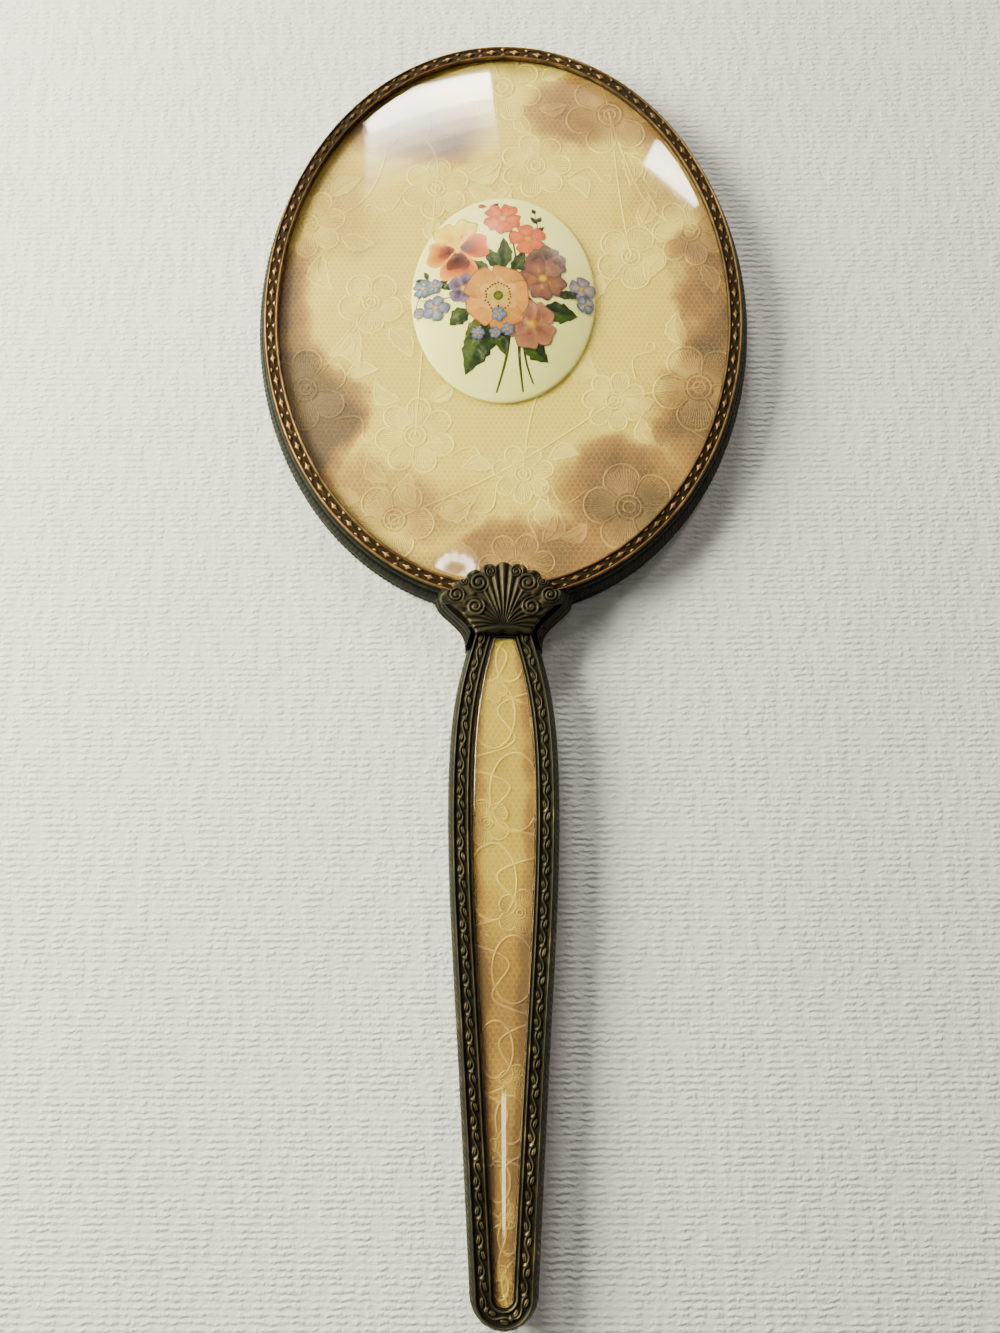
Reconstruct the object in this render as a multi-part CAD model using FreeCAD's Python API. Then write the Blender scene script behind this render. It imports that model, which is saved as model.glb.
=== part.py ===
import FreeCAD, Part
import math
import os

# Oval dressing-table hand mirror, lying mirror side down.
# +Z points away from the mirror side, +Y from handle to head, X across. Z = 0 is the rest face of the rim.
# The origin is under the middle of the overall length. All sizes are in mm.

OVERALL_LENGTH = 270.0
HEAD_WIDTH = 108.0
HEAD_LENGTH = 133.3

# Head, side wall and front lip
WALL_THICKNESS = 0.7
WALL_BELLY_Z = 3.8
WALL_TOP_Z = 8.6
WALL_TOP_INSET = 2.2
REST_EDGE_INSET = 1.4
REST_LAND_WIDTH = 1.6
LIP_INSET = 5.2
LIP_RISE = 0.6
MIRROR_SEAT_Z = 1.3

# Head, layers from the mirror to the cover
GLASS_THICKNESS = 2.2
GLASS_BEVEL_WIDTH = 8.4
GLASS_BEVEL_DEPTH = 0.6
SILVERING_THICKNESS = 0.1
BACKING_CARD_THICKNESS = 0.8
PACKING_CARD_THICKNESS = 1.8
COVER_CARD_THICKNESS = 0.8
SATIN_THICKNESS = 0.2
LACE_THICKNESS = 0.3
LAYER_GAP = 0.4
FLANGE_THICKNESS = 0.6
COVER_THICKNESS = 0.6
COVER_CLEARANCE = 0.7
BEZEL_WIDTH = 3.2
BEZEL_TOP_Z = 9.2
BEZEL_EDGE = 0.4

# Porcelain cabochon
CABOCHON_WIDTH = 40.0
CABOCHON_LENGTH = 48.2
CABOCHON_GIRDLE = 0.5
CABOCHON_RISE = 4.1
CABOCHON_OFFSET_Y = 2.85

# Neck
NECK_TOP_HALF_WIDTH = 14.2
NECK_END_HALF_WIDTH = 7.75
NECK_DROP = 8.2
NECK_FRONT_Z = 1.2
NECK_RIDGE = 0.45

# Shell badge; its heights along Y are measured from the lowest point of the head's side wall
BADGE_RADIUS = 12.7
BADGE_TIP_RADIUS = 14.1
BADGE_FOCUS_DROP = 3.2
BADGE_FOOT_HALF_WIDTH = 5.7
BADGE_FOOT_DROP = 5.5
BADGE_THICKNESS = 1.1
BADGE_LOBES = 9
BADGE_LOBE_PITCH = 16.0
BADGE_LOBE_DEPTH = 0.55
BADGE_GROOVE_DEPTH = 0.4
BADGE_PIN_RADIUS = 0.8
BADGE_PIN_LENGTH = 3.0
BADGE_PIN_X = 6.5
BADGE_PIN_DROP = 1.9

# Handle
HANDLE_TOP_DROP = 3.7
HANDLE_TOP_HALF_WIDTH = 6.3
HANDLE_SHOULDER_HALF_WIDTH = 9.5
HANDLE_MAX_HALF_WIDTH = 11.2
HANDLE_TIP_HALF_WIDTH = 6.55
HANDLE_TIP_LENGTH = 7.0
HANDLE_MID_Z = 5.3
FRAME_HALF_THICKNESS = 3.5
FRAME_WIDTH = 4.8
FRAME_METAL = 0.5
FRAME_WALL = 0.8
CORE_HALF_THICKNESS = 1.6
HANDLE_CARD_THICKNESS = 0.6
HANDLE_FABRIC_THICKNESS = 0.2
HANDLE_FLANGE_THICKNESS = 0.4
HANDLE_COVER_RISE = 0.85

# Tang and its rivets
TANG_WIDTH = 6.0
TANG_THICKNESS = 1.6
TANG_REACH = 59.7
TANG_FOOT_WIDTH = 16.0
TANG_FOOT_LENGTH = 5.0
TANG_FOOT_RISE = 2.9
RIVET_RADIUS = 1.5
RIVET_DROPS = (21.7, 46.7)

# Clearances between assembled pieces
FIT = 0.05
SLOT_FIT = 0.1

# Heights and centres that follow from the sizes above
HEAD_CENTRE_Y = (OVERALL_LENGTH - HEAD_LENGTH) / 2
HANDLE_END_Y = -OVERALL_LENGTH / 2
JOINT_Y = OVERALL_LENGTH / 2 - HEAD_LENGTH
HANDLE_TOP_Y = JOINT_Y - HANDLE_TOP_DROP
BADGE_FOCUS_Y = JOINT_Y - BADGE_FOCUS_DROP
BADGE_FOOT_Y = JOINT_Y - BADGE_FOOT_DROP
BADGE_PIN_Y = JOINT_Y - BADGE_PIN_DROP
TANG_END_Y = JOINT_Y - TANG_REACH
TANG_FOOT_Y = JOINT_Y + TANG_FOOT_RISE
GLASS_TOP_Z = MIRROR_SEAT_Z + GLASS_THICKNESS
SILVERING_TOP_Z = GLASS_TOP_Z + SILVERING_THICKNESS
BACKING_TOP_Z = SILVERING_TOP_Z + BACKING_CARD_THICKNESS
PACKING_TOP_Z = BACKING_TOP_Z + PACKING_CARD_THICKNESS
COVER_CARD_TOP_Z = PACKING_TOP_Z + COVER_CARD_THICKNESS
SATIN_TOP_Z = COVER_CARD_TOP_Z + SATIN_THICKNESS
LACE_TOP_Z = SATIN_TOP_Z + LACE_THICKNESS
FLANGE_TOP_Z = LACE_TOP_Z + FLANGE_THICKNESS
BEZEL_INSET = WALL_TOP_INSET + BEZEL_WIDTH
CABOCHON_HEIGHT = CABOCHON_GIRDLE + CABOCHON_RISE
COVER_RISE = CABOCHON_HEIGHT + COVER_CLEARANCE + COVER_THICKNESS - FLANGE_THICKNESS


def point(x, y, z):
    return FreeCAD.Vector(x, y, z)


def oval(inset, z):
    """Head outline at a height, drawn in by an inset."""
    half_width = HEAD_WIDTH / 2 - inset
    half_length = HEAD_LENGTH / 2 - inset
    centre = point(0, HEAD_CENTRE_Y, z)
    ellipse = Part.Ellipse(centre + point(0, half_length, 0), centre + point(half_width, 0, 0), centre)
    return Part.Wire(ellipse.toShape())


def handle_y(share):
    """Position along the handle, from its top (0) to its tip (1)."""
    return HANDLE_TOP_Y + share * (HANDLE_END_Y - HANDLE_TOP_Y)


def handle_outline(inset, z):
    """Handle outline at a height: straight top, a curved side each, and a round tip."""
    tip_y = HANDLE_END_Y + HANDLE_TIP_LENGTH
    stations = [
        (HANDLE_TOP_HALF_WIDTH, HANDLE_TOP_Y - inset / 2),
        (HANDLE_SHOULDER_HALF_WIDTH, handle_y(0.092)),
        (HANDLE_MAX_HALF_WIDTH, handle_y(0.232)),
        (0.84 * HANDLE_MAX_HALF_WIDTH, handle_y(0.583)),
        (HANDLE_TIP_HALF_WIDTH, tip_y),
    ]
    right = [point(x - inset, y, z) for x, y in stations]
    left = [point(-p.x, p.y, z) for p in reversed(right)]
    sides = []
    for points in (right, left):
        curve = Part.BSplineCurve()
        curve.interpolate(points)
        sides.append(curve.toShape())
    tip = Part.Arc(right[-1], point(0, HANDLE_END_Y + inset, z), left[0]).toShape()
    top = Part.makeLine(left[-1], right[0])
    return Part.Wire([sides[0], tip, sides[1], top])


def neck_outline(inset, z):
    """Neck outline at a height: two flares that widen toward the head."""
    flare = [
        (NECK_TOP_HALF_WIDTH, JOINT_Y + 5.3),
        (0.93 * NECK_TOP_HALF_WIDTH, JOINT_Y + 0.5),
        (0.74 * NECK_TOP_HALF_WIDTH, JOINT_Y - 2.1),
        (NECK_END_HALF_WIDTH + 0.55, JOINT_Y - 4.7),
        (NECK_END_HALF_WIDTH, JOINT_Y - NECK_DROP),
    ]
    right = [point(x - inset, y, z) for x, y in flare]
    left = [point(-p.x, p.y, z) for p in reversed(right)]
    sides = []
    for points in (right, left):
        curve = Part.BSplineCurve()
        curve.interpolate(points)
        sides.append(curve.toShape())
    bottom = Part.makeLine(right[-1], left[0])
    top = Part.makeLine(left[-1], right[0])
    return Part.Wire([sides[0], bottom, sides[1], top])


def step_faces(lower, upper):
    """Faces between two neighbouring outlines: flat where they share a height, ruled elsewhere."""
    if abs(lower.BoundBox.ZMin - upper.BoundBox.ZMin) < 1e-6:
        wires = sorted([lower, upper], key=lambda w: -w.BoundBox.XLength)
        return [Part.makeFace(wires, "Part::FaceMakerBullseye")]
    return [Part.makeRuledSurface(a, b) for a, b in zip(lower.Edges, upper.Edges)]


def closed_solid(faces):
    shell = Part.Compound(faces)
    shell.sewShape(1e-5)
    solid = Part.Solid(shell.Shells[0])
    if solid.Volume < 0:
        solid.reverse()
    return solid


def ring(outline, profile):
    """Solid ring: the closed profile of (inset, z) carried round an outline."""
    wires = [outline(inset, z) for inset, z in profile]
    faces = []
    for i, wire in enumerate(wires):
        faces += step_faces(wire, wires[(i + 1) % len(wires)])
    return closed_solid(faces)


def plug(outline, profile):
    """Solid without a hole: the profile runs from one end face to the other."""
    wires = [outline(inset, z) for inset, z in profile]
    faces = [Part.Face(wires[0]), Part.Face(wires[-1])]
    for lower, upper in zip(wires, wires[1:]):
        faces += step_faces(lower, upper)
    return closed_solid(faces)


def plate(outline, inset, z, thickness):
    """Flat sheet with the given outline."""
    return Part.Face(outline(inset, z)).extrude(point(0, 0, thickness))


def box(width, y_min, y_max, z_min, z_max):
    corner = point(-width / 2, y_min, z_min)
    return Part.makeBox(width, y_max - y_min, z_max - z_min, corner)


def turned_oval(profile_edges, half_width, half_length, centre_y, z):
    """Turn a profile of edges in the XZ plane about Z, stretch it along Y, and set it in place."""
    face = Part.Face(Part.Wire(profile_edges))
    turned = face.revolve(point(0, 0, 0), point(0, 0, 1), 360)
    stretch = FreeCAD.Matrix()
    stretch.scale(1, half_length / half_width, 1)
    solid = turned.transformGeometry(stretch)
    solid.translate(point(0, centre_y, z))
    return solid


def cap_arc(radius, rise, z):
    """Arc in the XZ plane from a rim point to a crown on the axis."""
    ball = (radius * radius + rise * rise) / (2 * rise)
    half_angle = math.asin(radius / ball) / 2
    middle = point(ball * math.sin(half_angle), 0, z + rise - ball + ball * math.cos(half_angle))
    return Part.Arc(point(radius, 0, z), middle, point(0, 0, z + rise)).toShape()


def inner_wall_inset(z):
    """Inset of the side wall's inner face above its belly."""
    share = (z - WALL_BELLY_Z) / (WALL_TOP_Z - WALL_BELLY_Z)
    return WALL_THICKNESS + 0.1 + max(0.0, share) * WALL_TOP_INSET


def head_envelope():
    """Everything inside the outer face of the side wall."""
    profile = [(REST_EDGE_INSET, 0), (0.2, 1.6), (0, WALL_BELLY_Z), (WALL_TOP_INSET, WALL_TOP_Z)]
    return plug(oval, profile)


def tang_shape(clearance):
    """Tang with its foot, grown by a clearance for the slots that take it."""
    z_min = HANDLE_MID_Z - TANG_THICKNESS / 2 - clearance
    z_max = HANDLE_MID_Z + TANG_THICKNESS / 2 + clearance
    bar = box(TANG_WIDTH + 2 * clearance, TANG_END_Y - clearance, TANG_FOOT_Y + 1, z_min, z_max)
    foot_end = TANG_FOOT_Y + TANG_FOOT_LENGTH + clearance
    foot = box(TANG_FOOT_WIDTH + 2 * clearance, TANG_FOOT_Y - clearance, foot_end, z_min, z_max)
    return bar.fuse(foot).removeSplitter()


def tang_slot(y_min, y_max):
    """Room for the tang's bar in a wall that it passes."""
    z_min = HANDLE_MID_Z - TANG_THICKNESS / 2 - SLOT_FIT
    z_max = HANDLE_MID_Z + TANG_THICKNESS / 2 + SLOT_FIT
    return box(TANG_WIDTH + 2 * SLOT_FIT, y_min, y_max, z_min, z_max)


def rivet_holes(z_min, z_max, clearance):
    height = z_max - z_min
    radius = RIVET_RADIUS + clearance
    return [Part.makeCylinder(radius, height, point(0, JOINT_Y - drop, z_min)) for drop in RIVET_DROPS]


def front_rim():
    land_end = REST_EDGE_INSET + REST_LAND_WIDTH
    profile = [
        (REST_EDGE_INSET, 0),
        (0.2, 1.6),
        (0, WALL_BELLY_Z),
        (WALL_TOP_INSET, WALL_TOP_Z),
        (inner_wall_inset(WALL_TOP_Z), WALL_TOP_Z),
        (inner_wall_inset(WALL_BELLY_Z), WALL_BELLY_Z),
        (WALL_THICKNESS + 0.4, MIRROR_SEAT_Z),
        (LIP_INSET, MIRROR_SEAT_Z),
        (LIP_INSET, LIP_RISE),
        (land_end, 0),
    ]
    return ring(oval, profile).cut(tang_slot(JOINT_Y - 1, TANG_FOOT_Y))


def back_bezel():
    flange_edge = inner_wall_inset(FLANGE_TOP_Z) + LAYER_GAP
    profile = [
        (WALL_TOP_INSET, WALL_TOP_Z),
        (WALL_TOP_INSET + BEZEL_EDGE, BEZEL_TOP_Z),
        (BEZEL_INSET - BEZEL_EDGE, BEZEL_TOP_Z),
        (BEZEL_INSET, BEZEL_TOP_Z - BEZEL_EDGE),
        (BEZEL_INSET, FLANGE_TOP_Z),
        (flange_edge, FLANGE_TOP_Z),
        (flange_edge, WALL_TOP_Z),
    ]
    return ring(oval, profile)


def mirror_glass():
    edge = WALL_THICKNESS + 0.8
    bevel_start = LIP_INSET + LAYER_GAP
    bevel_end = bevel_start + GLASS_BEVEL_WIDTH
    profile = [
        (edge, GLASS_TOP_Z),
        (edge, MIRROR_SEAT_Z),
        (bevel_start, MIRROR_SEAT_Z),
        (bevel_end, MIRROR_SEAT_Z - GLASS_BEVEL_DEPTH),
    ]
    return plug(oval, profile)


def mirror_silvering():
    return plate(oval, WALL_THICKNESS + 0.8, GLASS_TOP_Z, SILVERING_THICKNESS)


def mirror_backing_card():
    return plate(oval, WALL_THICKNESS + 0.9, SILVERING_TOP_Z, BACKING_CARD_THICKNESS)


def packing_card():
    card = plate(oval, inner_wall_inset(PACKING_TOP_Z) + LAYER_GAP, BACKING_TOP_Z, PACKING_CARD_THICKNESS)
    width = TANG_FOOT_WIDTH + 2 * LAYER_GAP
    notch_end = TANG_FOOT_Y + TANG_FOOT_LENGTH + LAYER_GAP
    notch = box(width, JOINT_Y, notch_end, BACKING_TOP_Z, PACKING_TOP_Z)
    return card.cut(notch)


def cover_card():
    inset = inner_wall_inset(COVER_CARD_TOP_Z) + LAYER_GAP
    return plate(oval, inset, PACKING_TOP_Z, COVER_CARD_THICKNESS)


def satin_lining():
    inset = inner_wall_inset(SATIN_TOP_Z) + LAYER_GAP
    return plate(oval, inset, COVER_CARD_TOP_Z, SATIN_THICKNESS)


def lace_overlay():
    inset = inner_wall_inset(LACE_TOP_Z) + LAYER_GAP
    return plate(oval, inset, SATIN_TOP_Z, LACE_THICKNESS)


def cabochon():
    radius = CABOCHON_WIDTH / 2
    centre_y = HEAD_CENTRE_Y + CABOCHON_OFFSET_Y
    edges = [
        Part.makeLine(point(0, 0, 0), point(radius, 0, 0)),
        Part.makeLine(point(radius, 0, 0), point(radius, 0, CABOCHON_GIRDLE)),
        cap_arc(radius, CABOCHON_RISE, CABOCHON_GIRDLE),
        Part.makeLine(point(0, 0, CABOCHON_HEIGHT), point(0, 0, 0)),
    ]
    return turned_oval(edges, radius, CABOCHON_LENGTH / 2, centre_y, LACE_TOP_Z)


def head_cover():
    flange_edge = inner_wall_inset(FLANGE_TOP_Z) + LAYER_GAP
    dome_inset = BEZEL_INSET + 0.2
    radius = HEAD_WIDTH / 2 - dome_inset
    half_length = HEAD_LENGTH / 2 - dome_inset
    inner_radius = radius - 1.5
    inner_rise = FLANGE_THICKNESS + COVER_RISE - COVER_THICKNESS
    edges = [
        Part.makeLine(point(radius, 0, 0), point(radius, 0, FLANGE_THICKNESS)),
        cap_arc(radius, COVER_RISE, FLANGE_THICKNESS),
        Part.makeLine(point(0, 0, FLANGE_THICKNESS + COVER_RISE), point(0, 0, inner_rise)),
        cap_arc(inner_radius, inner_rise, 0),
        Part.makeLine(point(inner_radius, 0, 0), point(radius, 0, 0)),
    ]
    dome = turned_oval(edges, radius, half_length, HEAD_CENTRE_Y, LACE_TOP_Z)
    lap = dome_inset + 0.5
    flange_profile = [
        (flange_edge, LACE_TOP_Z),
        (flange_edge, FLANGE_TOP_Z),
        (lap, FLANGE_TOP_Z),
        (lap, LACE_TOP_Z),
    ]
    return dome.fuse(ring(oval, flange_profile)).removeSplitter()


def neck_saddle():
    profile = [
        (2 * NECK_RIDGE, NECK_FRONT_Z),
        (0, NECK_FRONT_Z + 1.4),
        (0, 4.0),
        (NECK_RIDGE, 4.4),
        (0.4 * NECK_RIDGE, 5.4),
        (2 * NECK_RIDGE, 6.0),
        (1.4 * NECK_RIDGE, 7.0),
        (3 * NECK_RIDGE, 7.6),
        (3 * NECK_RIDGE, BEZEL_TOP_Z),
    ]
    body = plug(neck_outline, profile)
    socket = plug(handle_outline, [(-FIT, 0), (-FIT, BEZEL_TOP_Z + 1)])
    bezel_edge = WALL_TOP_INSET - FIT
    bezel_room = plug(oval, [(bezel_edge, WALL_TOP_Z), (bezel_edge, BEZEL_TOP_Z + 1)])
    pins = []
    for side in (-1, 1):
        centre = point(side * BADGE_PIN_X, BADGE_PIN_Y, BEZEL_TOP_Z - BADGE_PIN_LENGTH - FIT)
        pins.append(Part.makeCylinder(BADGE_PIN_RADIUS + FIT, BADGE_PIN_LENGTH + 1, centre))
    return body.cut([head_envelope(), bezel_room, socket, tang_shape(SLOT_FIT)] + pins)


def tang():
    holes = rivet_holes(0, BEZEL_TOP_Z, FIT)
    return tang_shape(0).cut(holes)


def tang_rivets():
    half = CORE_HALF_THICKNESS
    return Part.Compound(rivet_holes(HANDLE_MID_Z - half, HANDLE_MID_Z + half, 0))


def badge_radius(angle):
    """Distance of the badge's scalloped edge from its focus, longer at the two tips."""
    share = min(1.0, max(0.0, (abs(angle) - 50.0) / 16.0))
    return BADGE_RADIUS + (BADGE_TIP_RADIUS - BADGE_RADIUS) * share


def badge_point(angle, radius, z):
    turn = math.radians(angle)
    return point(radius * math.sin(turn), BADGE_FOCUS_Y + radius * math.cos(turn), z)


def shell_badge():
    z = BEZEL_TOP_Z
    first = -BADGE_LOBES * BADGE_LOBE_PITCH / 2
    edges = []
    for lobe in range(BADGE_LOBES):
        start = first + lobe * BADGE_LOBE_PITCH
        end = start + BADGE_LOBE_PITCH
        middle = (start + end) / 2
        valley_1 = badge_point(start, badge_radius(start) - BADGE_LOBE_DEPTH, z)
        valley_2 = badge_point(end, badge_radius(end) - BADGE_LOBE_DEPTH, z)
        peak = badge_point(middle, badge_radius(middle) + BADGE_LOBE_DEPTH / 2, z)
        edges.append(Part.Arc(valley_1, peak, valley_2).toShape())
    tip = edges[-1].Vertexes[-1].Point
    foot = point(BADGE_FOOT_HALF_WIDTH, BADGE_FOOT_Y, z)
    waist = point(BADGE_FOOT_HALF_WIDTH + 1.3, BADGE_FOCUS_Y + 0.9, z)
    edges.append(Part.Arc(tip, waist, foot).toShape())
    bottom_middle = point(0, BADGE_FOOT_Y + 0.5, z)
    mirror_foot = point(-foot.x, foot.y, z)
    edges.append(Part.Arc(foot, bottom_middle, mirror_foot).toShape())
    mirror_waist = point(-waist.x, waist.y, z)
    mirror_tip = point(-tip.x, tip.y, z)
    edges.append(Part.Arc(mirror_foot, mirror_waist, mirror_tip).toShape())
    body = Part.Face(Part.Wire(edges)).extrude(point(0, 0, BADGE_THICKNESS))
    grooves = []
    for lobe in range(1, BADGE_LOBES):
        angle = first + lobe * BADGE_LOBE_PITCH
        top = z + BADGE_THICKNESS
        corners = [
            badge_point(angle, 4.0, top - BADGE_GROOVE_DEPTH / 2),
            badge_point(angle - 3, 20.0, top - BADGE_GROOVE_DEPTH),
            badge_point(angle + 3, 20.0, top - BADGE_GROOVE_DEPTH),
        ]
        outline = Part.makePolygon(corners + [corners[0]])
        grooves.append(Part.Face(outline).extrude(point(0, 0, 1)))
    body = body.cut(grooves)
    pins = []
    for side in (-1, 1):
        foot_of_pin = point(side * BADGE_PIN_X, BADGE_PIN_Y, z - BADGE_PIN_LENGTH)
        pins.append(Part.makeCylinder(BADGE_PIN_RADIUS, BADGE_PIN_LENGTH + 0.3, foot_of_pin))
    return body.fuse(pins).removeSplitter()


def handle_level(side, height):
    """Height above the handle's middle plane, measured toward the back (+1) or front (-1)."""
    return HANDLE_MID_Z + side * height


def handle_frame(side):
    top = FRAME_HALF_THICKNESS
    seat = top - FRAME_METAL
    heights = [
        (0, 0),
        (0.25, 1.8),
        (0.9, top - 0.4),
        (1.3, top),
        (FRAME_WIDTH - 0.45, top),
        (FRAME_WIDTH, top - 0.2),
        (FRAME_WIDTH, seat),
        (FRAME_WALL + 0.9, seat),
        (FRAME_WALL + 0.1, 1.8),
        (FRAME_WALL, 0),
    ]
    frame = ring(handle_outline, [(inset, handle_level(side, h)) for inset, h in heights])
    return frame.cut(tang_slot(HANDLE_TOP_Y - 2, HANDLE_TOP_Y + 1))


def handle_sheet(side, height, thickness):
    """Flat handle panel layer that starts at a height above the middle plane."""
    z = min(handle_level(side, height), handle_level(side, height + thickness))
    return plate(handle_outline, FRAME_WALL + 1.1, z, thickness)


def handle_card(side):
    return handle_sheet(side, CORE_HALF_THICKNESS, HANDLE_CARD_THICKNESS)


def handle_satin(side):
    start = CORE_HALF_THICKNESS + HANDLE_CARD_THICKNESS
    return handle_sheet(side, start, HANDLE_FABRIC_THICKNESS)


def handle_lace(side):
    start = CORE_HALF_THICKNESS + HANDLE_CARD_THICKNESS + HANDLE_FABRIC_THICKNESS
    return handle_sheet(side, start, HANDLE_FABRIC_THICKNESS)


def handle_cover(side):
    seat = FRAME_HALF_THICKNESS - FRAME_METAL
    under = seat - HANDLE_FLANGE_THICKNESS
    crown = seat + HANDLE_COVER_RISE
    skin = HANDLE_FLANGE_THICKNESS
    heights = [
        (FRAME_WIDTH + 0.7, crown),
        (FRAME_WIDTH + 0.5, crown - 0.15),
        (FRAME_WIDTH + 0.3, seat + 0.55 * HANDLE_COVER_RISE),
        (FRAME_WIDTH + 0.1, seat),
        (FRAME_WALL + 1.2, seat),
        (FRAME_WALL + 1.2, under),
        (FRAME_WIDTH + 0.5, under),
        (FRAME_WIDTH + 0.8, crown - skin),
    ]
    return plug(handle_outline, [(inset, handle_level(side, h)) for inset, h in heights])


def handle_core():
    bottom = HANDLE_MID_Z - CORE_HALF_THICKNESS
    block = plate(handle_outline, FRAME_WALL + 0.4, bottom, 2 * CORE_HALF_THICKNESS)
    holes = rivet_holes(0, BEZEL_TOP_Z, FIT)
    return block.cut([tang_shape(SLOT_FIT)] + holes)


def main():
    os.makedirs("parts", exist_ok=True)
    pieces = {
        "front_rim": front_rim(),
        "back_bezel": back_bezel(),
        "mirror_glass": mirror_glass(),
        "mirror_silvering": mirror_silvering(),
        "mirror_backing_card": mirror_backing_card(),
        "packing_card": packing_card(),
        "cover_card": cover_card(),
        "satin_lining": satin_lining(),
        "lace_overlay": lace_overlay(),
        "cabochon": cabochon(),
        "head_cover": head_cover(),
        "neck_saddle": neck_saddle(),
        "shell_badge": shell_badge(),
        "tang": tang(),
        "tang_rivets": tang_rivets(),
        "handle_core": handle_core(),
    }
    for name, side in (("back", 1), ("front", -1)):
        pieces["handle_" + name + "_frame"] = handle_frame(side)
        pieces["handle_" + name + "_card"] = handle_card(side)
        pieces["handle_" + name + "_satin"] = handle_satin(side)
        pieces["handle_" + name + "_lace"] = handle_lace(side)
        pieces["handle_" + name + "_cover"] = handle_cover(side)
    for name, shape in pieces.items():
        shape.exportStep(os.path.join("parts", name + ".step"))


main()
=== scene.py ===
import math

import bpy
import numpy as np
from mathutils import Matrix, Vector


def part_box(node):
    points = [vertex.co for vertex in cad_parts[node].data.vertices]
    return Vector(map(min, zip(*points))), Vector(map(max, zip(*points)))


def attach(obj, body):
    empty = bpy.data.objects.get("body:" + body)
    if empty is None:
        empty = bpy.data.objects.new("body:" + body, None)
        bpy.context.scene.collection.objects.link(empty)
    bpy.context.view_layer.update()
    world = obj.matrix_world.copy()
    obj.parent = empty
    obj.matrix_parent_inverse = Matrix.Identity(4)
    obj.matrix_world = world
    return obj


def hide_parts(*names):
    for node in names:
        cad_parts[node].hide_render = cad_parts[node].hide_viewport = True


# Sizes in millimetres; MM turns them into metres when a mesh is made.
MM = 0.001
SEED = 11

# Head
HEAD_Y = 68.35
HEAD_A, HEAD_B = 54.0, 66.65
DOME_INSET = 5.6
DOME_A, DOME_B = HEAD_A - DOME_INSET, HEAD_B - DOME_INSET
DOME_Z, DOME_RISE = 8.1, 5.3
CAB_A, CAB_B, CAB_Y = 20.0, 24.1, 71.2
CAB_Z, CAB_RISE = 8.0, 4.1

# Handle
MID_Z = 5.3
JOINT_Y = 1.7
HANDLE_TOP, HANDLE_END = -2.0, -135.0
TIP_LENGTH = 7.0
# Places down the handle as shares of its length, and its half width at each.
HANDLE_SHARES = (0, 0.092, 0.232, 0.583, 126.0 / 133.0)
HANDLE_WIDTHS = (6.3, 9.5, 11.2, 0.84 * 11.2, 6.55)

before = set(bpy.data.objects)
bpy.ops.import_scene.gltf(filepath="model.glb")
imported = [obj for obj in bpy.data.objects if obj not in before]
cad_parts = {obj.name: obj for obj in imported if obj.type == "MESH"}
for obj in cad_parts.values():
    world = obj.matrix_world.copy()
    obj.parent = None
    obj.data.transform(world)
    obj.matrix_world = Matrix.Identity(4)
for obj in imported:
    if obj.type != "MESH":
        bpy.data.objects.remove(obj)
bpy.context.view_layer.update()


# ---------------------------------------------------------------- helpers
def lattice_noise(x, y, cell, seed):
    """Smooth value noise in 0..1 on a square lattice."""
    table = np.random.default_rng(seed).random((64, 64))
    u, v = np.asarray(x) / cell, np.asarray(y) / cell
    i, j = np.floor(u).astype(int), np.floor(v).astype(int)
    f, g = u - i, v - j
    f, g = f * f * (3 - 2 * f), g * g * (3 - 2 * g)
    a, b = table[i % 64, j % 64], table[(i + 1) % 64, j % 64]
    c, d = table[i % 64, (j + 1) % 64], table[(i + 1) % 64, (j + 1) % 64]
    return (a * (1 - f) + b * f) * (1 - g) + (c * (1 - f) + d * f) * g


def cloud(x, y, cell, seed, octaves=4):
    """Fractal noise in 0..1."""
    total, weight, amount = 0.0, 0.0, 1.0
    for k in range(octaves):
        total = total + amount * lattice_noise(x, y, cell / 2**k, seed + k)
        weight += amount
        amount *= 0.55
    return total / weight


def smooth(a, b, x):
    """0 at a, 1 at b, with a soft start and end."""
    t = np.clip((np.asarray(x, float) - a) / (b - a), 0, 1)
    return t * t * (3 - 2 * t)


def add_mesh(
    name, verts, faces, material, node=None, floats=None, ink=None, up=0, flat_from=math.inf
):
    """Piece from points in mm that stands for a CAD node and has a material slot's finish.

    floats and ink are per-vertex values that the material reads. up is 1 or -1 where the first face has to
    look along +Z or -Z. Faces of flat_from corners or more are left unsmoothed.
    """
    mesh = bpy.data.meshes.new(name)
    verts = np.asarray(verts, float) * MM
    mesh.from_pydata(verts.tolist(), [], [list(f) for f in faces])
    mesh.update()
    mesh.polygons.foreach_set("use_smooth", [len(f) < flat_from for f in faces])
    for key, values in (floats or {}).items():
        layer = mesh.attributes.new(key, "FLOAT", "POINT")
        layer.data.foreach_set("value", np.asarray(values, np.float32).ravel())
    if ink is not None:
        layer = mesh.color_attributes.new("ink", "FLOAT_COLOR", "POINT")
        rgba = np.ones((len(verts), 4), np.float32)
        rgba[:, :3] = ink
        layer.data.foreach_set("color", rgba.ravel())
    mesh.materials.append(material)
    if up * mesh.polygons[0].normal.z < 0:
        mesh.flip_normals()
    piece = bpy.data.objects.new(name, mesh)
    bpy.context.scene.collection.objects.link(piece)
    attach(piece, "root")
    if node:
        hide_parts(node)
    return piece


def ring_angles(count):
    """Even steps round a circle."""
    return np.linspace(0, 2 * np.pi, count, endpoint=False)


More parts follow.
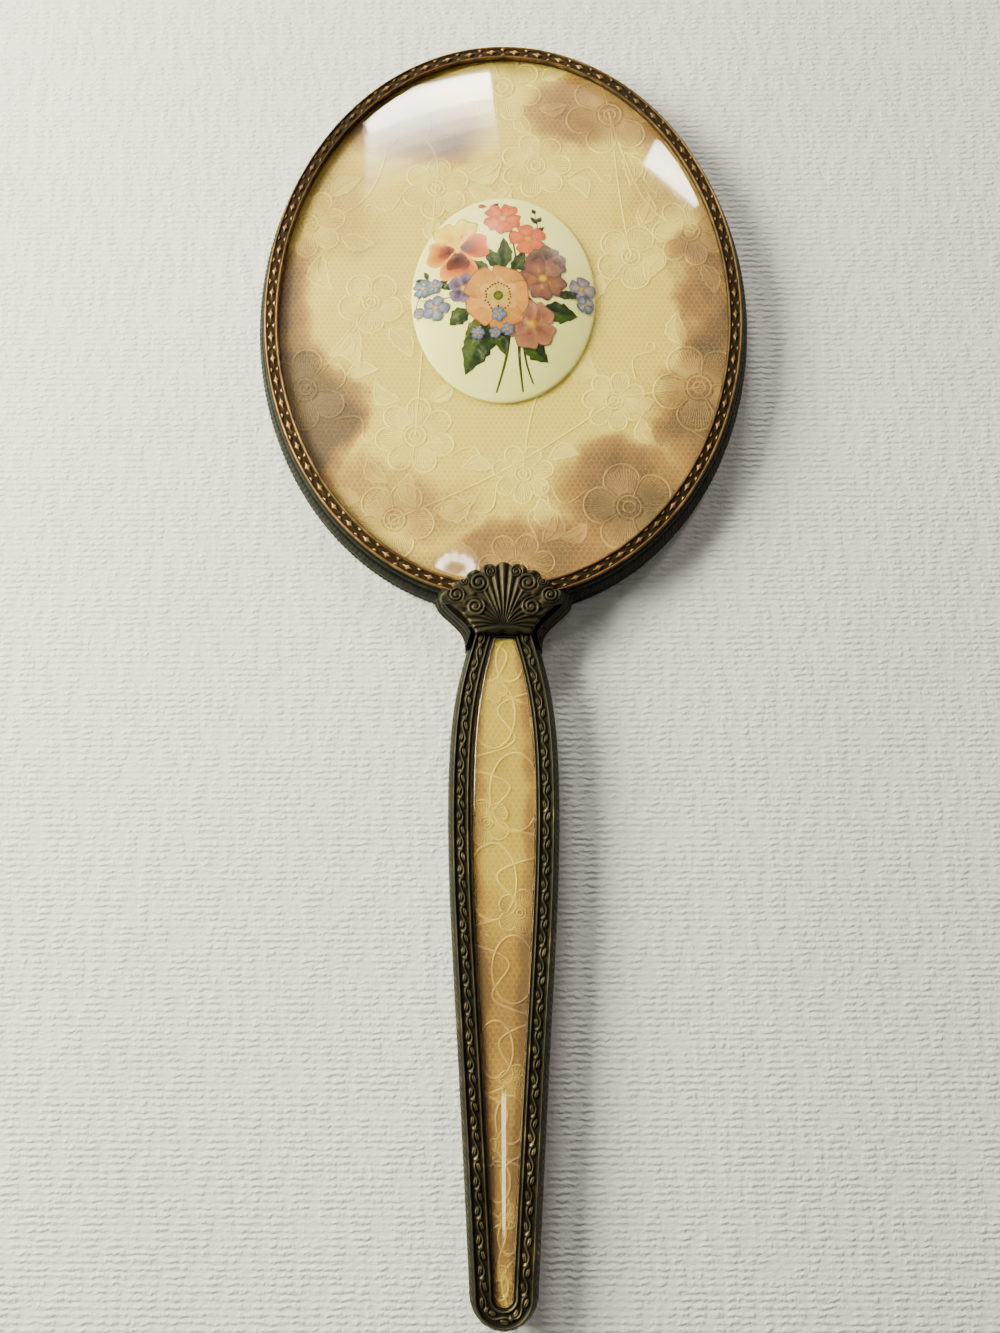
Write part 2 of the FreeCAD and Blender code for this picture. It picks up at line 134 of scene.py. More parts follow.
def grid_faces(rows, cols, close_rows=False, close_cols=False, flip=False):
    """Quads of a grid of points stored row by row."""
    r = np.arange(rows if close_rows else rows - 1)
    c = np.arange(cols if close_cols else cols - 1)
    i, j = np.meshgrid(r, c, indexing="ij")
    i2, j2 = (i + 1) % rows, (j + 1) % cols
    quads = np.stack([i * cols + j, i * cols + j2, i2 * cols + j2, i2 * cols + j], -1).reshape(-1, 4)
    return (quads[:, ::-1] if flip else quads).tolist()


# ---------------------------------------------------------------- materials
class Nodes:
    """Small wrapper that keeps node building short."""

    def __init__(self, name):
        self.material = bpy.data.materials.new(name)
        self.material.use_nodes = True
        self.tree = self.material.node_tree
        self.tree.nodes.clear()
        self.out = self.tree.nodes.new("ShaderNodeOutputMaterial")

    def new(self, kind, **settings):
        node = self.tree.nodes.new("ShaderNode" + kind)
        for key, value in settings.items():
            setattr(node, key, value)
        return node

    def wire(self, value, socket):
        if isinstance(value, (int, float)):
            socket.default_value = value
        elif isinstance(value, tuple):
            socket.default_value = (*value, 1.0) if len(value) == 3 else value
        else:
            self.tree.links.new(value, socket)

    def value(self, name):
        return self.new("Attribute", attribute_name=name).outputs["Fac"]

    def colour(self, name):
        return self.new("Attribute", attribute_name=name).outputs["Color"]

    def place(self):
        return self.new("TexCoord").outputs["Object"]

    def noise(self, scale, detail=4.0, rough=0.55, stretch=None):
        node = self.new("TexNoise")
        node.inputs["Scale"].default_value = scale
        node.inputs["Detail"].default_value = detail
        node.inputs["Roughness"].default_value = rough
        source = self.place()
        if stretch:
            mapping = self.new("Mapping")
            mapping.inputs["Scale"].default_value = stretch
            self.wire(source, mapping.inputs["Vector"])
            source = mapping.outputs["Vector"]
        self.wire(source, node.inputs["Vector"])
        return node.outputs["Fac"]

    def math(self, operation, a, b=0.0, clamp=False):
        node = self.new("Math", operation=operation, use_clamp=clamp)
        self.wire(a, node.inputs[0])
        self.wire(b, node.inputs[1])
        return node.outputs[0]

    def ramp(self, value, low, high, to_low=0.0, to_high=1.0):
        node = self.new("MapRange", interpolation_type="SMOOTHSTEP")
        self.wire(value, node.inputs["Value"])
        for key, number in (("From Min", low), ("From Max", high), ("To Min", to_low), ("To Max", to_high)):
            node.inputs[key].default_value = number
        return node.outputs["Result"]

    def mix(self, share, a, b, blend="MIX"):
        node = self.new("Mix", data_type="RGBA", blend_type=blend)
        self.wire(share, node.inputs["Factor"])
        self.wire(a, node.inputs[6])
        self.wire(b, node.inputs[7])
        return node.outputs[2]

    def bump(self, height, strength, distance):
        node = self.new("Bump")
        node.inputs["Strength"].default_value = strength
        node.inputs["Distance"].default_value = distance
        self.wire(height, node.inputs["Height"])
        return node.outputs["Normal"]

    def principled(self, **inputs):
        node = self.new("BsdfPrincipled")
        for key, value in inputs.items():
            self.wire(value, node.inputs[key.replace("_", " ")])
        self.tree.links.new(node.outputs["BSDF"], self.out.inputs["Surface"])
        return node


def patina_metal(name, dark, mid, bright, wear_floor, verdigris):
    """Old brass: dark in the hollows, rubbed bright on the high points where the wear value is strong; on the
    bezel, rim, handle frames and badge that value also holds painted light.
    """
    n = Nodes(name)
    relief, wear = n.value("relief"), n.value("wear")
    grain = n.noise(900.0, 5.0)
    blotch = n.noise(90.0, 4.0)
    rub = n.math("ADD", wear, wear_floor)
    rub = n.math("MULTIPLY", rub, n.ramp(blotch, 0.3, 0.65, 0.55, 1.25))
    high = n.ramp(n.math("ADD", relief, n.math("MULTIPLY", grain, 0.25)), 0.45, 1.0)
    tone = n.math("MULTIPLY", high, rub, clamp=True)
    body = n.mix(n.math("MULTIPLY", rub, 0.9, clamp=True), dark, mid)
    hollow = n.mix(n.ramp(relief, 0.05, 0.45), tuple(0.6 * c for c in dark), body)
    colour = n.mix(tone, hollow, bright)
    green = n.math("MULTIPLY", n.ramp(n.noise(160.0, 3.0), 0.55, 0.72), verdigris, clamp=True)
    colour = n.mix(green, colour, (0.030, 0.042, 0.026))
    rough = n.math("SUBTRACT", n.ramp(grain, 0.2, 0.8, 0.42, 0.66), n.math("MULTIPLY", tone, 0.1))
    metal = n.math("ADD", 0.72, n.math("MULTIPLY", tone, 0.28), clamp=True)
    n.principled(
        Base_Color=colour,
        Metallic=metal,
        Roughness=rough,
        Specular_IOR_Level=0.2,
        Normal=n.bump(n.noise(1700.0, 3.0), 0.25, 0.0001),
    )
    return n.material


def clear_plastic(name, tint, roughness):
    """Clear cover: glass that lets lamps through, with faint handling marks."""
    n = Nodes(name)
    smear = n.ramp(n.noise(60.0, 5.0), 0.35, 0.75, roughness, roughness * 2.4)
    shade = n.mix(n.ramp(n.noise(45.0, 3.0), 0.3, 0.7), tint, tuple(0.985 * c for c in tint))
    skin = n.new("BsdfPrincipled")
    n.wire(shade, skin.inputs["Base Color"])
    n.wire(smear, skin.inputs["Roughness"])
    skin.inputs["IOR"].default_value = 1.48
    skin.inputs["Transmission Weight"].default_value = 1.0
    n.wire(n.bump(n.noise(240.0, 4.0), 0.05, 0.00005), skin.inputs["Normal"])
    through = n.new("BsdfTransparent")
    n.wire(tint, through.inputs["Color"])
    path = n.new("LightPath")
    mixer = n.new("MixShader")
    n.wire(path.outputs["Is Shadow Ray"], mixer.inputs[0])
    n.wire(skin.outputs["BSDF"], mixer.inputs[1])
    n.wire(through.outputs["BSDF"], mixer.inputs[2])
    n.tree.links.new(mixer.outputs["Shader"], n.out.inputs["Surface"])
    return n.material


def satin_cloth(name, base, brown, dark_brown):
    """Cream satin with age stains carried by the "stain" value."""
    n = Nodes(name)
    stain = n.value("stain")
    fine = n.noise(420.0, 4.0)
    edge = n.math("ADD", stain, n.math("MULTIPLY", n.math("SUBTRACT", fine, 0.5), 0.16))
    warm = n.mix(n.ramp(edge, 0.06, 0.72), base, brown)
    colour = n.mix(n.ramp(edge, 0.62, 1.15), warm, dark_brown)
    threads = n.noise(1500.0, 2.0, 0.5, (0.12, 1.0, 1.0))
    colour = n.mix(n.ramp(threads, 0.3, 0.7, 0.0, 0.10), colour, tuple(0.8 * c for c in brown))
    n.principled(
        Base_Color=colour,
        Roughness=n.ramp(threads, 0.3, 0.7, 0.42, 0.58),
        Sheen_Weight=0.04,
        Sheen_Roughness=0.4,
        Normal=n.bump(threads, 0.12, 0.0001),
    )
    return n.material


def lace_thread(name, base, brown, dark_brown):
    """Cotton thread, a little paler than the satin and stained less."""
    n = Nodes(name)
    stain = n.value("stain")
    twist = n.noise(2600.0, 2.0)
    warm = n.mix(n.ramp(stain, 0.08, 0.78), base, brown)
    colour = n.mix(n.ramp(stain, 0.68, 1.2), warm, dark_brown)
    colour = n.mix(n.ramp(twist, 0.3, 0.75, 0.0, 0.22), colour, tuple(0.72 * c for c in base))
    n.principled(
        Base_Color=colour,
        Roughness=n.ramp(twist, 0.2, 0.8, 0.62, 0.8),
        Sheen_Weight=0.15,
        Sheen_Roughness=0.5,
        Normal=n.bump(twist, 0.3, 0.00006),
    )
    return n.material


def porcelain(name):
    """Glazed white porcelain, a little yellowed."""
    n = Nodes(name)
    cloudy = n.noise(70.0, 3.0)
    colour = n.mix(n.ramp(cloudy, 0.3, 0.7), (0.58, 0.565, 0.20), (0.53, 0.51, 0.165))
    n.principled(
        Base_Color=colour,
        Roughness=n.ramp(n.noise(260.0, 4.0), 0.3, 0.7, 0.30, 0.38),
        Specular_IOR_Level=0.2,
        Coat_Weight=0.35,
        Coat_Roughness=0.03,
        Subsurface_Weight=0.05,
        Normal=n.bump(n.noise(120.0, 2.0), 0.04, 0.0001),
    )
    return n.material


def flower_print(name):
    """Printed enamel: colour from the "ink" values, with a hand-tinted grain."""
    n = Nodes(name)
    ink = n.colour("ink")
    wash = n.noise(700.0, 4.0, 0.6)
    colour = n.mix(n.ramp(wash, 0.5, 0.85, 0.0, 0.14), ink, (0.74, 0.66, 0.44))
    grain = n.ramp(n.noise(1300.0, 3.0), 0.5, 0.8, 0.0, 0.22)
    colour = n.mix(grain, colour, (0.25, 0.17, 0.12), "MULTIPLY")
    n.principled(
        Base_Color=colour,
        Roughness=n.ramp(wash, 0.3, 0.7, 0.3, 0.4),
        Specular_IOR_Level=0.2,
        Coat_Weight=0.2,
        Coat_Roughness=0.03,
    )
    return n.material


def paper_floor(name):
    """Pale linen-embossed paper."""
    n = Nodes(name)
    rib = n.new("TexWave", wave_type="BANDS", bands_direction="Y", wave_profile="SIN")
    rib.inputs["Scale"].default_value = 230.0
    rib.inputs["Distortion"].default_value = 3.4
    rib.inputs["Detail"].default_value = 3.0
    rib.inputs["Detail Scale"].default_value = 2.6
    n.wire(n.place(), rib.inputs["Vector"])
    breaks = n.ramp(n.noise(420.0, 2.0, 0.5, (1.0, 0.35, 1.0)), 0.38, 0.62, 0.25, 1.0)
    weft = n.noise(1100.0, 3.0, 0.6, (0.5, 1.0, 1.0))
    height = n.math("ADD", n.math("MULTIPLY", rib.outputs["Fac"], breaks), n.math("MULTIPLY", weft, 0.8))
    colour = n.mix(n.ramp(n.noise(18.0, 4.0), 0.3, 0.7), (0.83, 0.825, 0.80), (0.78, 0.775, 0.755))
    n.principled(
        Base_Color=colour,
        Roughness=n.ramp(weft, 0.2, 0.8, 0.7, 0.85),
        Normal=n.bump(height, 0.5, 0.0005),
    )
    return n.material


def plain_solid(name, first, second, scale, roughness, metallic=0.0):
    """Hidden and simple parts: two tones of grain and a small bump."""
    n = Nodes(name)
    grain = n.noise(scale, 5.0)
    n.principled(
        Base_Color=n.mix(n.ramp(grain, 0.3, 0.7), first, second),
        Roughness=n.ramp(grain, 0.2, 0.8, roughness * 0.85, min(1.0, roughness * 1.15)),
        Metallic=metallic,
        Normal=n.bump(n.noise(scale * 3, 3.0), 0.15, 0.0001),
    )
    return n.material


def mirror_silver(name):
    """Silvering with a few dark spots of age."""
    n = Nodes(name)
    spots = n.ramp(n.noise(500.0, 3.0), 0.70, 0.78)
    n.principled(
        Base_Color=n.mix(spots, (0.90, 0.91, 0.91), (0.35, 0.33, 0.30)),
        Metallic=1.0,
        Roughness=n.ramp(spots, 0.0, 1.0, 0.02, 0.3),
    )
    return n.material


# Metal: dark, middle and bright tone, then the least wear and the share of verdigris.
BRASS_DARK = patina_metal(
    "dark_brass", (0.025, 0.023, 0.0145), (0.058, 0.047, 0.026), (0.30, 0.215, 0.105), 0.05, 0.35
)
BRASS_BADGE = patina_metal(
    "badge_brass", (0.012, 0.011, 0.0072), (0.028, 0.023, 0.0135), (0.16, 0.115, 0.060), 0.04, 0.3
)
BRASS_WALL = patina_metal(
    "wall_brass", (0.009, 0.0086, 0.0060), (0.021, 0.017, 0.0105), (0.13, 0.092, 0.048), 0.02, 0.35
)
BRASS_BRIGHT = patina_metal(
    "bright_brass", (0.044, 0.026, 0.0105), (0.15, 0.080, 0.026), (0.46, 0.245, 0.090), 0.05, 0.2
)
ACETATE = clear_plastic("clear_acetate", (0.985, 0.965, 0.93), 0.03)
GLASS = clear_plastic("mirror_glass_clear", (0.97, 0.99, 0.985), 0.012)
# Cloth: clean, stained, darkest stain.
SATIN = satin_cloth("satin", (0.42, 0.315, 0.030), (0.175, 0.085, 0.012), (0.052, 0.025, 0.006))
HANDLE_SATIN = satin_cloth("handle_satin", (0.30, 0.205, 0.008), (0.17, 0.085, 0.008), (0.075, 0.034, 0.006))
LACE = lace_thread("lace", (0.56, 0.46, 0.080), (0.25, 0.130, 0.024), (0.080, 0.040, 0.010))
HANDLE_LACE = lace_thread("handle_lace", (0.39, 0.285, 0.020), (0.24, 0.13, 0.015), (0.10, 0.048, 0.009))
PORCELAIN = porcelain("porcelain")
INK = flower_print("flower_print")
CARD = plain_solid("card", (0.40, 0.32, 0.20), (0.33, 0.26, 0.16), 300.0, 0.9)
STEEL = plain_solid("steel", (0.30, 0.31, 0.32), (0.24, 0.24, 0.25), 500.0, 0.4, 1.0)
WOOD = plain_solid("core_wood", (0.42, 0.28, 0.15), (0.32, 0.20, 0.10), 120.0, 0.7)
SILVER = mirror_silver("silvering")


# ---------------------------------------------------------------- wear and stains
def turn_of(x, y):
    """Direction from the head's centre, in degrees, 0 at the top and clockwise."""
    return np.degrees(np.arctan2(x, y - HEAD_Y)) % 360


def lobe(angle, centre, width):
    """Bell curve round a direction, in degrees."""
    gap = (angle - centre + 180) % 360 - 180
    return np.exp(-((gap / width) ** 2))


# Painted light and reflection of the bezel by direction, together with its rubbing; a negative amount
# darkens.
RUBBED_AND_LIT = [  # direction and width in degrees, and how much
    (262, 34, 0.70), (215, 30, 0.60), (176, 24, 0.70), (352, 26, 0.65), (130, 18, 0.25), (318, 14, -0.25),
]


def rim_wear_and_painted_light(x, y):
    """How bright the bezel is, by direction: painted light and reflection on the left, round the bottom and
    at the top, over a base of rubbing with patchy noise.
    """
    t = turn_of(x, y)
    wear = 0.20 + sum(amount * lobe(t, centre, width) for centre, width, amount in RUBBED_AND_LIT)
    return np.clip(wear + 0.5 * (cloud(x, y, 9, 5) - 0.5), 0.02, 1.2)


STAINS = [  # x, y, half width, half height, strength
    (-44, 43, 11, 16, 1.45),
    (-50, 68, 8, 17, 1.0),
    (-22, 112, 15, 9, 0.95),
    (22, 118, 15, 8, 0.85),
    (47, 74, 7, 26, 1.0),
    (44, 42, 10, 14, 0.95),
    (29, 27, 15, 10, 1.0),
    (8, 14, 18, 8, 0.85),
    (-24, 24, 16, 8, 0.55),
    (34, 98, 9, 9, 0.35),
    (-38, 92, 9, 10, 0.45),
]


def head_stain(x, y):
    """Age stain of the head's cloth, 0 clean to about 1.2 dark."""
    warp_x = x + 16 * (cloud(x, y, 12, 21, 5) - 0.5)
    warp_y = y + 16 * (cloud(x, y, 12, 31, 5) - 0.5)
    total = np.zeros_like(np.asarray(x, float))
    for cx, cy, a, b, strength in STAINS:
        d = ((warp_x - cx) / a) ** 2 + ((warp_y - cy) / b) ** 2
        total = np.maximum(total, strength * smooth(2.5, 0.0, d))
    edge = np.sqrt((x / DOME_A) ** 2 + ((y - HEAD_Y) / DOME_B) ** 2)
    rim = smooth(0.86, 1.02, edge + 0.12 * (cloud(x, y, 10, 41) - 0.5))
    mottled = total * (0.66 + 0.7 * cloud(x, y, 6, 51, 5))
    return np.clip(np.maximum(mottled, 0.55 * rim) + 0.22 * (cloud(x, y, 16, 61) - 0.5), 0, 1.3)


def handle_stain(x, y):
    """Age stain of the handle's cloth: brown edges and patches."""
    half = handle_half_width(y) - 4.8
    edge = smooth(0.35, 1.05, np.abs(x) / np.maximum(half, 0.6) + 0.5 * (cloud(x, y, 5, 71) - 0.5))
    patch = smooth(0.5, 0.72, cloud(x, y * 0.55, 8, 81))
    low = smooth(-35, -110, y) * 0.42 + 0.5 * np.exp(-(((y + 74) / 15) ** 2))
    return np.clip(0.95 * edge + 0.35 * patch + low, 0, 1.2)


# ---------------------------------------------------------------- outlines
def natural_curve(xs, ys, at):
    """Natural cubic spline through (xs, ys), evaluated at the given places."""
    xs, ys = np.asarray(xs, float), np.asarray(ys, float)
    n, h = len(xs), np.diff(xs)
    matrix, right = np.eye(n), np.zeros(n)
    for i in range(1, n - 1):
        matrix[i, i - 1], matrix[i, i], matrix[i, i + 1] = h[i - 1], 2 * (h[i - 1] + h[i]), h[i]
        right[i] = 6 * ((ys[i + 1] - ys[i]) / h[i] - (ys[i] - ys[i - 1]) / h[i - 1])
    bend = np.linalg.solve(matrix, right)
    at = np.clip(at, xs[0], xs[-1])
    k = np.clip(np.searchsorted(xs, at) - 1, 0, n - 2)
    a, b = (xs[k + 1] - at) / h[k], (at - xs[k]) / h[k]
    curve = a * ys[k] + b * ys[k + 1]
    return curve + ((a**3 - a) * bend[k] + (b**3 - b) * bend[k + 1]) * h[k] ** 2 / 6


def handle_half_width(y):
    """Half width of the handle, from its top to the start of its rounded tip."""
    stations = HANDLE_TOP + np.array(HANDLE_SHARES) * (HANDLE_END - HANDLE_TOP)
    return natural_curve(-stations, HANDLE_WIDTHS, -np.asarray(y, float))


def handle_loop(inset, side_count, tip_count, top_count):
    """Closed handle outline, drawn in: down the right, round the tip, up the left, over the top."""
    tip_y = HANDLE_END + TIP_LENGTH
    top_y = HANDLE_TOP - inset / 2
    y = np.linspace(top_y, tip_y, side_count, endpoint=False)
    x = handle_half_width(y) - inset
    half, rise = HANDLE_WIDTHS[-1] - inset, TIP_LENGTH - inset
    ball = (half * half + rise * rise) / (2 * rise)
    start = math.asin(min(1.0, half / ball))
    start = start if rise <= ball else math.pi - start
    turn = np.linspace(start, -start, tip_count, endpoint=False)
    tip_x, tip_yy = ball * np.sin(turn), HANDLE_END + inset + ball - ball * np.cos(turn)
    left_y = np.linspace(tip_y, top_y, side_count, endpoint=False)
    left_x = -(handle_half_width(left_y) - inset)
    span = handle_half_width(top_y) - inset
    top_x = np.linspace(-span, span, top_count, endpoint=False)
    xs = np.concatenate([x, tip_x, left_x, top_x])
    ys = np.concatenate([y, tip_yy, left_y, np.full(top_count, top_y)])
    return np.stack([xs, ys], 1)


def oval_loop(inset, count):
    """Head outline drawn in by an inset, evenly spaced along its length, clockwise from the bottom."""
    t = np.linspace(0, 2 * np.pi, 4001)
    x, y = -(HEAD_A - 2) * np.sin(t), -(HEAD_B - 2) * np.cos(t)
    length = np.concatenate([[0], np.cumsum(np.hypot(np.diff(x), np.diff(y)))])
    even = np.interp(np.linspace(0, length[-1], count, endpoint=False), length, t)
    return np.stack([-(HEAD_A - inset) * np.sin(even), HEAD_Y - (HEAD_B - inset) * np.cos(even)], 1)


def swept_ring(name, node, material, rows, outline, carve, dents, wear, base=0.0, side=1):
    """Closed ring from rows of (inset, height) round an outline.

    carve gives a row's push along the outward normal, and its relief. dents are a noise's cell, seed and
    depth in the relief. wear gives how rubbed a place is, together with any painted light. Heights count from
    base, up or down by side.
    """
    loops = np.stack([outline(inset) for inset, _ in rows])
    heights = np.array([base + side * z for _, z in rows])
    x, y = loops[:, :, 0], loops[:, :, 1]
    carved = [carve(i, inset, z) for i, (inset, z) in enumerate(rows)]
    push, relief = (np.stack([np.broadcast_to(row[k], x.shape[1]) for row in carved]) for k in (0, 1))
    cell, seed, depth = dents
    relief = np.clip(relief + depth * (cloud(x, y, cell, seed) - 0.5), 0, 1)
    points = np.stack([x, y, np.broadcast_to(heights[:, None], x.shape)], 2)
    around = np.roll(points, -1, 1) - np.roll(points, 1, 1)
    along = np.roll(points, -1, 0) - np.roll(points, 1, 0)
    normal = np.cross(around, along)
    normal /= np.maximum(np.linalg.norm(normal, axis=2, keepdims=True), 1e-9)
    inward = normal[int(np.argmax(heights)), :, 2].mean() < 0
    points += (-normal if inward else normal) * push[:, :, None]
    faces = grid_faces(*x.shape, True, True, inward)
    floats = {"relief": relief, "wear": wear(x, y)}
    add_mesh(name, points.reshape(-1, 3), faces, material, node, floats)


# ---------------------------------------------------------------- relief patterns
def star_band(s, t):
    """Bezel ornament: s counts repeats, t runs -1 to 1 over the band. Four-point stars between leaf pairs."""
    u = (s + 0.5) % 1 - 0.5
    star = 1 - ((np.abs(u) / 0.27) ** 0.75 + (np.abs(t) / 0.86) ** 0.75)
    v = (s % 1) - 0.5
    edge = np.minimum(np.abs(t - 1), np.abs(t + 1))
    tooth = 1 - (np.abs(v) / 0.15) ** 0.9 - (edge / 0.78) ** 0.9
    leaf_u = (np.abs(u) - 0.25) / 0.15
    leaf = 1 - leaf_u**2 - (t / 0.62) ** 2
    vein = np.abs(t) < 0.09
    h = np.maximum(smooth(0.0, 0.28, star), 0.9 * smooth(0.0, 0.3, tooth))
    return np.maximum(h, np.where(vein, 0.16, 0.07) * smooth(0.0, 0.5, leaf))


def scroll_band(s, t):
    """Handle ornament: a wavy stem with curled leaves, and a small diamond in each repeat."""
    wave = 0.42 * np.sin(2 * np.pi * s)
    stem = smooth(0.26, 0.08, np.abs(t - wave))
    u = (s % 1) - 0.25
    leaf1 = 1 - ((u / 0.17) ** 2 + ((t + 0.38 - 1.2 * u) / 0.42) ** 2)
    w = (s % 1) - 0.75
    leaf2 = 1 - ((w / 0.17) ** 2 + ((t - 0.38 + 1.2 * w) / 0.42) ** 2)
    d = ((s + 0.5) % 1) - 0.5
    diamond = 1 - (np.abs(d) / 0.11 + np.abs(t) / 0.7)
    h = 0.75 * stem
    for leaf, vein in ((leaf1, t + 0.38 - 1.2 * u), (leaf2, t - 0.38 + 1.2 * w)):
        h = np.maximum(h, 0.85 * smooth(0, 0.45, leaf) - 0.35 * smooth(0.12, 0.03, np.abs(vein)))
    return np.maximum(h, smooth(0, 0.3, diamond))


def rope(s, t, slant):
    """Fine slanting cords."""
    return 0.5 + 0.5 * np.cos(2 * np.pi * (s + slant * t))


def spread_rows(profile, steps):
    """Fill a profile of (inset, height) corner points with evenly spaced steps."""
    rows = []
    for (a, b), count in zip(zip(profile, profile[1:]), steps):
        rows += [(a[0] + (b[0] - a[0]) * k / count, a[1] + (b[1] - a[1]) * k / count) for k in range(count)]
    return rows + [profile[-1]]


# ---------------------------------------------------------------- head metal
BEZEL_REPEATS = 69
RIM_COUNT = BEZEL_REPEATS * 24
RIM_CORDS = 345


def head_outline(inset):
    return oval_loop(inset, RIM_COUNT)


def build_bezel():
    """Embossed band that frames the back of the head."""
    rows = spread_rows([(2.25, 8.62), (2.3, 8.95), (2.5, 9.2), (2.7, 9.12), (2.8, 8.92)], [3, 3, 2, 2])
    start = len(rows)
    rows += spread_rows([(2.88, 8.88), (4.6, 8.88)], [20])
    stop = len(rows)
    inner = [
        (4.68, 8.95), (4.8, 9.16), (5.0, 9.22), (5.2, 9.1),
        (5.32, 8.8), (5.36, 8.2), (4.2, 8.12), (3.1, 8.14),
    ]
    rows += spread_rows(inner, [2] * 7) + [(3.0, 8.5), (2.5, 8.6)]
    s = np.linspace(0, BEZEL_REPEATS, RIM_COUNT, endpoint=False)
    s = s + 0.02 * np.sin(s * 1.7) + 0.02 * np.sin(s * 0.61 + 2)

    def carve(i, inset, z):
        if start <= i < stop:
            t = np.full(RIM_COUNT, -1 + 2 * (i - start) / (stop - 1 - start))
            h = star_band(s, t) * smooth(1.0, 0.86, np.abs(t))
            return 0.33 * h, np.clip(h, 0, 1)
        if z > 9.0:
            return 0, 0.54 if inset < 3.0 else 0.42
        return 0, 0.3 if z > 8.7 else 0.05

    dents = (1.6, 91, 0.5)
    swept_ring(
        "bezel_band", "back_bezel", BRASS_BRIGHT, rows, head_outline, carve, dents, rim_wear_and_painted_light
    )


def build_rim():
    """Side wall with fine slanting cords, and the lip that holds the mirror glass."""
    rows = spread_rows([(2.9, 0.0), (1.5, 0.0), (1.0, 0.35), (0.55, 1.05)], [2, 2, 3])[:-1]
    start = len(rows)
    wall = [(0.55, 1.05), (0.12, 1.7), (0.0, 2.4), (0.0, 3.9), (0.55, 5.2), (1.1, 6.4), (1.66, 7.6)]
    rows += spread_rows(wall, [3, 3, 5, 5, 5, 5])
    stop = len(rows)
    edge = [(1.75, 7.75), (1.8, 7.95), (1.95, 8.1), (2.2, 8.3), (2.3, 8.58), (2.9, 8.58)]
    inside = [(2.0, 6.6), (0.9, 3.9), (1.1, 1.32), (5.15, 1.32), (5.2, 0.95), (5.0, 0.66)]
    rows += spread_rows(edge, [2, 2, 2, 2, 1]) + spread_rows(inside, [2] * 5)
    rows += spread_rows([(4.2, 0.4), (3.6, 0.28), (3.3, 0.1)], [2, 2])
    s = np.linspace(0, 1, RIM_COUNT, endpoint=False)

    def carve(i, inset, z):
        if not start <= i < stop:
            return 0, 0.6 if 7.7 < z < 8.2 else 0.35
        t = (i - start) / (stop - 1 - start)
        fade = float(smooth(0, 0.1, t) * smooth(1, 0.93, t))
        groove = float(smooth(0.10, 0.03, abs(t - 0.42)) + smooth(0.08, 0.03, abs(t - 0.9)))
        h = rope(s * RIM_CORDS, t, 2.2) * (1 - groove)
        return fade * (0.14 * h - 0.16 * groove) - 0.14 * fade, 0.15 + 0.4 * h * fade

    # The bezel's wear with its painted light and reflection by direction, much weaker on the side wall.
    def wear(x, y):
        return 0.16 * rim_wear_and_painted_light(x, y)

    dents = (2.5, 95, 0.3)
    swept_ring("rim_wall", "front_rim", BRASS_WALL, rows, head_outline, carve, dents, wear)


# ---------------------------------------------------------------- handle metal
SIDE_STEPS, TIP_STEPS, TOP_STEPS = 560, 96, 30
HANDLE_REPEATS = 52


def handle_outline(inset):
    return handle_loop(inset, SIDE_STEPS, TIP_STEPS, TOP_STEPS)


def handle_wear_and_painted_light(x, y):
    """How rubbed the handle's frame is: in patches, and more towards the tip; its left side is brighter by
    painted light.
    """
    # The x < 0 term lifts the left side: painted light.
    wear = 0.10 + 0.7 * smooth(0.55, 0.8, cloud(x, y, 5, 98)) + np.where(x < 0, 0.12, 0.0)
    return np.clip(wear + 0.22 * smooth(-60, -125, y), 0, 1)


def build_handle_frame(side, name, node):
    """Embossed frame of the handle: corded outer wall, ridge, scroll band, inner ridge and lip."""
    rows = spread_rows([(0.0, 0.05), (0.02, 0.7), (0.12, 1.4), (0.35, 2.1), (0.75, 2.75)], [4, 4, 4, 4])
    wall = len(rows)
    ridge = [(0.85, 2.9), (0.95, 3.02), (1.15, 3.42), (1.35, 3.46), (1.5, 3.3), (1.62, 3.05)]
    rows += spread_rows(ridge, [1, 2, 2, 2, 2])
    start = len(rows)
    rows += spread_rows([(1.72, 3.02), (3.72, 3.02)], [17])
    stop = len(rows)
    lip = [
        (3.82, 3.05), (3.92, 3.36), (4.08, 3.5), (4.26, 3.4),
        (4.38, 3.1), (4.52, 3.02), (4.66, 3.2), (4.78, 3.18),
    ]
    rows += spread_rows(lip, [2, 2, 2, 2, 2, 1, 1])
    rows += [(4.8, 3.02), (3.2, 2.98), (1.8, 2.96), (0.95, 1.8), (0.85, 0.05)]
    band = handle_outline(2.7)
    step = np.hypot(*(np.roll(band, -1, 0) - band).T)
    s = np.concatenate([[0], np.cumsum(step)[:-1]]) / step.sum() * HANDLE_REPEATS

    def carve(i, inset, z):
        if i < wall:
            t = i / (wall - 1)
            h = rope(s * 4.0, t, 1.6)
            fade = float(smooth(0, 0.08, t) * smooth(1, 0.9, t))
            return fade * (0.16 * h - 0.16), 0.1 + 0.45 * h * fade
        if start <= i < stop:
            t = np.full(len(s), -1 + 2 * (i - start) / (stop - 1 - start))
            h = np.clip(scroll_band(s + 0.03 * np.sin(s * 1.3), t), 0, 1) * smooth(1.0, 0.85, np.abs(t))
            return 0.42 * h, 0.15 + 0.62 * h
        return 0, 0.52 if z > 3.3 else 0.12

    dents = (2.0, 97, 0.35)
    swept_ring(
        name, node, BRASS_DARK, rows, handle_outline, carve, dents, handle_wear_and_painted_light, MID_Z, side
    )


COVER_COLUMNS = 18


